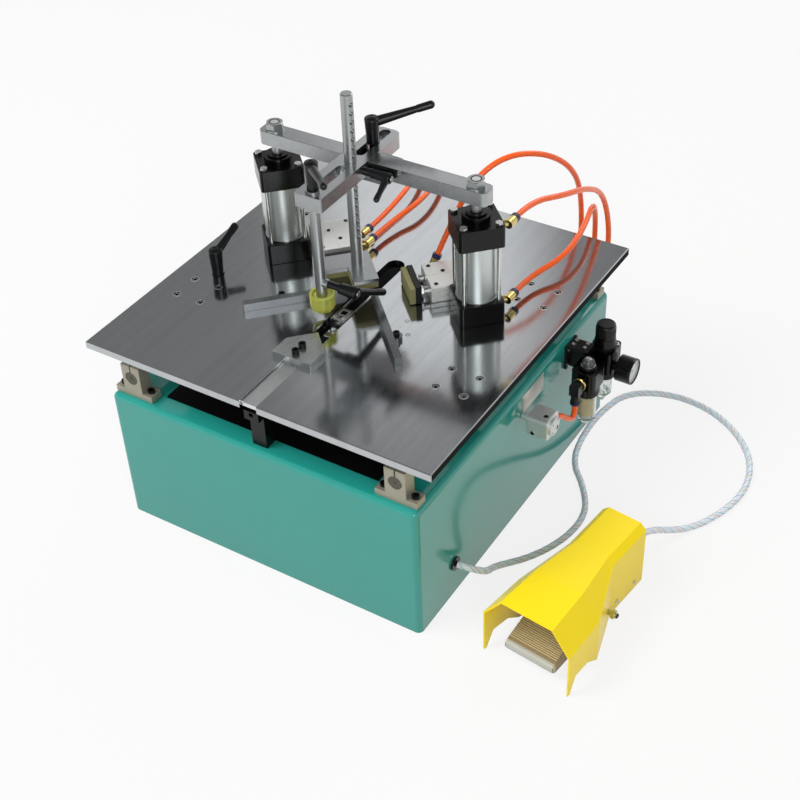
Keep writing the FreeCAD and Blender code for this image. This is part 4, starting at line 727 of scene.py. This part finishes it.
class UNDERPINNER_OT_head_trim(bpy.types.Operator):
    """Nail window, screws and follower of the V-nail head, the rails in the slot, and painted shade in the
    window and under the rails
    """
    bl_idname = "underpinner.head_trim"
    bl_label = "Nail head"

    def execute(self, context):
        # painted shade: a flat black square for the shade inside the nail window
        window = moved(slab((7.6, 7.6, 0.3), 0.1), Matrix.Translation((0, NAIL_Y, TABLE_TOP + 0.1)))
        piece("nail_window", window, "painted_shade", "cabinet")
        bars = [((12, 1.4, 0.6), (0, NAIL_Y + 5.4)), ((12, 1.4, 0.6), (0, NAIL_Y - 5.4)),
                ((1.4, 10, 0.6), (5.4, NAIL_Y)), ((1.4, 10, 0.6), (-5.4, NAIL_Y))]
        bars = [moved(slab(size, 0.15), Matrix.Translation((x, y, TABLE_TOP + 0.2))) for size, (x, y) in bars]
        piece("window_frame", joined("window_frame", bars), "bright", "cabinet")
        screws = [facing((x, y, TABLE_TOP)) for x, y in ((-6.5, -65), (6.5, -65))]
        spread("head_screws", socket_head(2.8, 1.4, 1.4), screws, "zinc", "cabinet")
        rails = [moved(slab((2.6, 46, 4), 0.3), Matrix.Translation((x, -18.5, TABLE_TOP - 3)))
                 for x in (-9.2, 9.2)]
        piece("slot_rails", joined("slot_rails", rails), "bright", "cabinet")
        # painted shade: a flat black sheet under the slot's rails, standing for the shade deep in the slot
        slot_shade_sheet = moved(slab((15.6, 46, 2), 0.3), Matrix.Translation((0, -18.5, TABLE_TOP - 12)))
        piece("rail_bed", slot_shade_sheet, "painted_shade", "cabinet")
        follower = moved(slab((12, 20, 7), 0.8), Matrix.Translation((0, -84, TABLE_TOP - 14.2)))
        piece("nail_follower", follower, "zinc", "cabinet")
        return {"FINISHED"}


class UNDERPINNER_OT_lever_trim(bpy.types.Operator):
    """Screw and cap in the hub of each clamping lever"""
    bl_idname = "underpinner.lever_trim"
    bl_label = "Clamping levers"

    def execute(self, context):
        for body, (foot, axis, height, radius, finish) in HUBS.items():
            top = facing(Vector(foot) + axis * height, axis)
            spread(body + "_cap", ring(radius * 0.5, radius * 0.66, 0.1, 1.0), [top], "moulded", body)
            spread(body + "_screw", socket_head(radius * 0.46, 2.0, radius * 0.22), [top], finish, body)
            seat = facing(Vector(foot), axis)
            spread(body + "_washer", ring(radius * 0.5, radius * 0.88, 0.1, 1.2), [seat], "oxide", body)
        return {"FINISHED"}


class UNDERPINNER_OT_unit_trim(bpy.types.Operator):
    """Gauge, knob grip, sight dome, screws, oil and fittings of the air unit and valve"""
    bl_idname = "underpinner.unit_trim"
    bl_label = "Air unit"

    def execute(self, context):
        gauge = facing((GAUGE_X, FILTER_Y, GAUGE_Z), X)
        bezel = ((17, -4), (19.05, -4), (19.2, -0.5), (18.8, 0.6), (17.4, 0.8), (17, 0))
        piece("gauge_bezel", moved(lathe("bezel", bezel, 48, True), gauge), "black_metal", "cabinet")
        piece("gauge_glass", moved(disc(17, -0.9, -0.3, 48), gauge), "clear", "cabinet")
        ticks = []
        for k in range(21):
            turn = math.radians(225 - 13.5 * k)
            out = 13.4 if k % 5 else 12.8
            tick = (DIAL_X + 0.1, FILTER_Y + out * math.cos(turn), GAUGE_Z + out * math.sin(turn))
            ticks.append(facing(tick, X))
        spread("gauge_ticks", slab((0.7, 0.7, 0.2), 0.05, 1), ticks, "mark", "cabinet", 1.6)
        lean = Matrix.Translation((DIAL_X + 0.6, FILTER_Y - 3.2, GAUGE_Z + 3.2))
        needle = moved(slab((0.3, 1.1, 13), 0.1), lean @ Matrix.Rotation(math.radians(45), 4, "X"))
        boss = moved(disc(2, 0, 1), facing((DIAL_X, FILTER_Y, GAUGE_Z), X))
        piece("gauge_needle", joined("needle", [needle, boss]), "mark", "cabinet")
        grip = [facing((UNIT_X + 13.5 * math.cos(a), FILTER_Y + 13.5 * math.sin(a), 219), Z, a)
                for a in (2 * math.pi * k / 28 for k in range(28))]
        spread("knob_grip", slab((1.2, 1.3, 13), 0.3, 1), grip, "moulded", "regulator_knob")
        piece("knob_ring", moved(ring(9.5, 11, 0, 0.5), facing((UNIT_X, FILTER_Y, 230.9))), "moulded",
              "regulator_knob")
        bonnet = facing((UNIT_X, FILTER_Y, 193.2))
        piece("bonnet_nut", moved(ring(15, 17.6, 0, 4, 40), bonnet), "oxide", "cabinet")
        lock_screw = moved(disc(2.6, 0, 4), facing((UNIT_X + 14, FILTER_Y + 6, 196), (1, 0.4, 0.5)))
        piece("lock_screw", lock_screw, "zinc", "cabinet")
        dome = facing((UNIT_X, OILER_Y, 190))
        piece("dome_ring", moved(ring(9.05, 12, 0, 3.4, 40), dome), "oxide", "cabinet")
        piece("dome_band", moved(ring(9.05, 10, 3.4, 5.6, 40), dome), "zinc", "cabinet")
        drip = lathe("drip", ((1.4, 1), (1.4, 9), (4.2, 11), (4.2, 14.5), (2.5, 15.6)))
        piece("drip_tube", moved(drip, dome), "bright", "cabinet")
        oil = lathe("oil", ((7, 109), (11.4, 112), (11.4, 143), (11.0, 143.2)))
        piece("oil", moved(oil, Matrix.Translation((UNIT_X, OILER_Y, 0))), "oil", "cabinet")
        drains = [facing((UNIT_X, FILTER_Y, 101.5)), facing((UNIT_X, OILER_Y, 93.5))]
        spread("drain_nuts", ring(3.4, 5.4, 0, 3.2, 6), drains, "zinc", "cabinet")
        collars = [facing((UNIT_X, FILTER_Y, 144.5)), facing((UNIT_X, OILER_Y, 148.5))]
        spread("bowl_collars", ring(13.2, 17.4, 0, 5, 40), collars, "black_metal", "cabinet")
        bolts = [facing((x, y, 203)) for x in (246, 263) for y in (137, 147)]
        spread("bracket_screws", socket_head(2.9, 1.9, 1.4), bolts, "zinc", "cabinet")
        wall_bolts = [facing((WALL_X + 4, y, z), X) for y in (131, 153) for z in (170, 197)]
        spread("wall_screws", socket_head(3, 2, 1.5), wall_bolts, "zinc", "cabinet")
        for name, shape, seat, finish in (
                ("outlet_ring", ring(7.9, 9.6, 0, 3), facing((UNIT_X, 88, 178), Y), "brass"),
                ("elbow_collar", ring(4.2, 7.3, -0.6, 3.4), facing((UNIT_X, 80, 153)), "collar"),
                ("valve_port_collar", ring(4.2, 6.4, -0.8, 2.2), facing((274, 24, 161), Y), "collar"),
                ("stub_nut", ring(4.9, 8, 0, 5, 6), facing((WALL_X + 8, VALVE_Y, VALVE_Z), X), "zinc")):
            piece(name, moved(shape, seat), finish, "cabinet")
        ports = [facing((262, -13.05, 162), -Y), facing((VALVE_FACE + 0.05, 10, 166), X),
                 facing((276, -2, 188.05))]
        # painted shade: flat black discs for the shade inside the valve's ports
        spread("valve_ports", disc(2.7, -0.2, 0.12), ports, "painted_shade", "cabinet")
        spread("valve_port_rims", ring(2.7, 3.7, -0.1, 0.35), ports, "zinc", "cabinet")
        covers = [facing((VALVE_FACE, VALVE_Y + 10 * math.cos(a), VALVE_Z + 10 * math.sin(a)), X)
                  for a in (math.radians(45 + 90 * k) for k in range(4))]
        spread("valve_screws", socket_head(1.9, 0.9, 0.9), covers, "zinc", "cabinet")
        return {"FINISHED"}


class UNDERPINNER_OT_bare_plate(bpy.types.Operator):
    """Bare rating plate with its four rivets on the right wall"""
    bl_idname = "underpinner.bare_plate"
    bl_label = "Bare plate"

    def execute(self, context):
        plate = moved(slab((0.8, 60, 29), 0.25), Matrix.Translation((WALL_X + 0.4, 33, 188.3)))
        piece("bare_plate", plate, "plate", "cabinet")
        rivets = [facing((WALL_X + 0.8, y, z), X) for y in (6, 60) for z in (177, 199.5)]
        spread("plate_rivets", disc(1.5, 0, 0.7, 12), rivets, "zinc", "cabinet")
        return {"FINISHED"}


class UNDERPINNER_OT_pedal_trim(bpy.types.Operator):
    """Ribs and lip of the treadle, screws of the guard and caps of the axle"""
    bl_idname = "underpinner.pedal_trim"
    bl_label = "Foot pedal"

    def execute(self, context):
        foot, head = Vector((0, -203.5, 29.0)), Vector((0, -121.5, 55.1))
        tilt = Matrix.Rotation(math.atan2(head.z - foot.z, head.y - foot.y), 4, "X")
        ribs = [PEDAL @ Matrix.Translation(foot.lerp(head, k / (RIB_COUNT - 1))) @ tilt
                for k in range(RIB_COUNT)]
        spread("treadle_ribs", slab((70, 1.5, 1.5), 0.3, 1), ribs, "rib", "treadle")
        lip = moved(slab((72.6, 8, 13), 2.8, 4), PEDAL @ Matrix.Translation((0, -210.4, 20.4)))
        piece("treadle_lip", lip, "lip", "treadle")
        seats = [(PEDAL @ Matrix.Translation((s * 33, v, 12)), s) for s in (-1, 1) for v in (-20, -62)]
        screws = [facing(m.to_translation(), PEDAL.to_3x3() @ (X * s)) for m, s in seats]
        spread("guard_screws", socket_head(3.4, 1.6, 1.6), screws, "zinc", "cabinet")
        ends = [facing(PEDAL @ Vector((s * 53, -95, 26)), PEDAL.to_3x3() @ (X * s)) for s in (-1, 1)]
        spread("axle_caps", disc(3.2, -0.4, 1.4), ends, "oxide", "cabinet")
        return {"FINISHED"}


def light_studio(tree):
    """White all round; mirrors also see a dim ceiling with one bright strip window in it."""
    back = tree.nodes["Background"]
    back.inputs["Color"].default_value = (1, 1, 1, 1)
    way = add(tree, "ShaderNodeTexCoord").outputs["Generated"]
    across = add(tree, "ShaderNodeVectorMath", {0: way, 1: WINDOW_SIDE}, operation="DOT_PRODUCT")
    off = add(tree, "ShaderNodeMath", {0: across.outputs["Value"]}, operation="ABSOLUTE")
    ceiling = add(tree, "ShaderNodeMapRange", {"Value": off.outputs[0], "From Min": WINDOW_EDGE[0],
                                               "From Max": WINDOW_EDGE[1], "To Max": CEILING_GLOW},
                  interpolation_type="SMOOTHSTEP")
    height = add(tree, "ShaderNodeSeparateXYZ", {"Vector": way})
    window = add(tree, "ShaderNodeMapRange", {"Value": height.outputs["Z"], "From Min": WINDOW_END[0],
                                              "From Max": WINDOW_END[1], "To Min": WINDOW_GLOW,
                                              "To Max": END_GLOW}, interpolation_type="SMOOTHSTEP")
    tree.links.new(window.outputs["Result"], ceiling.inputs["To Min"])
    tent = add(tree, "ShaderNodeMapRange", {"Value": height.outputs["Z"], "From Min": WALL_END[0],
                                            "From Max": WALL_END[1], "To Min": 1.0},
               interpolation_type="SMOOTHSTEP")
    tree.links.new(ceiling.outputs["Result"], tent.inputs["To Max"])
    path = add(tree, "ShaderNodeLightPath")
    mirrored = add(tree, "ShaderNodeMix", {"Factor": path.outputs["Is Glossy Ray"], "A": AMBIENT,
                                           "B": tent.outputs["Result"]})
    seen = add(tree, "ShaderNodeMix", {"Factor": path.outputs["Is Camera Ray"],
                                       "A": mirrored.outputs["Result"], "B": 1.0})
    tree.links.new(seen.outputs["Result"], back.inputs["Strength"])


class UNDERPINNER_OT_stage(bpy.types.Operator):
    """Floor, soft lights and camera"""
    bl_idname = "underpinner.stage"
    bl_label = "Stage"

    def execute(self, context):
        floor = bpy.data.meshes.new("floor")
        corners = [(x * FLOOR_HALF, y * FLOOR_HALF, 0) for x, y in ((-1, -1), (1, -1), (1, 1), (-1, 1))]
        floor.from_pydata(corners, [], [(0, 1, 2, 3)])
        piece("floor", floor, "floor", None, scale=1)
        world = bpy.data.worlds.new("studio")
        context.scene.world = world
        world.use_nodes = True
        light_studio(world.node_tree)
        for name, place, size, power in LAMPS:
            lamp = bpy.data.lights.new(name, "AREA")
            lamp.energy = power
            lamp.size = size
            holder = bpy.data.objects.new(name, lamp)
            holder.visible_glossy = name != "key"          # flat machined faces would flash it back
            holder.location = place
            aim = LAMP_AIM - Vector(place)
            holder.rotation_euler = aim.to_track_quat("-Z", "Y").to_euler()
            context.collection.objects.link(holder)
        view = bpy.data.cameras.new("camera")
        view.sensor_width = 36
        view.lens = context.scene.underpinner.lens
        camera = bpy.data.objects.new("camera", view)
        camera.location = CAMERA_PLACE
        camera.rotation_euler = [math.radians(a) for a in CAMERA_TURN]
        context.collection.objects.link(camera)
        context.scene.camera = camera
        context.scene.view_settings.view_transform = "Standard"
        return {"FINISHED"}


class UNDERPINNER_PT_panel(bpy.types.Panel):
    """Lists the steps that dress the machine"""
    bl_label = "Underpinner"
    bl_idname = "UNDERPINNER_PT_panel"
    bl_space_type = "VIEW_3D"
    bl_region_type = "UI"
    bl_category = "Underpinner"

    def draw(self, context):
        for operator in OPERATORS:
            self.layout.operator(operator.bl_idname)


OPERATORS = (UNDERPINNER_OT_finishes, UNDERPINNER_OT_stage, UNDERPINNER_OT_tubes,
             UNDERPINNER_OT_broken_edges, UNDERPINNER_OT_table_trim,
             UNDERPINNER_OT_cylinder_trim, UNDERPINNER_OT_clamp_trim, UNDERPINNER_OT_head_trim,
             UNDERPINNER_OT_lever_trim, UNDERPINNER_OT_unit_trim, UNDERPINNER_OT_bare_plate,
             UNDERPINNER_OT_pedal_trim)
CLASSES = (UnderpinnerSettings,) + OPERATORS + (UNDERPINNER_PT_panel,)


def register():
    for cls in CLASSES:
        bpy.utils.register_class(cls)
    bpy.types.Scene.underpinner = bpy.props.PointerProperty(type=UnderpinnerSettings)


def unregister():
    del bpy.types.Scene.underpinner
    for cls in reversed(CLASSES):
        bpy.utils.unregister_class(cls)


def main():
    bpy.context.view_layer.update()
    register()
    for operator in OPERATORS:
        group, name = operator.bl_idname.split(".")
        getattr(getattr(bpy.ops, group), name)()


if __name__ == "__main__":
    main()
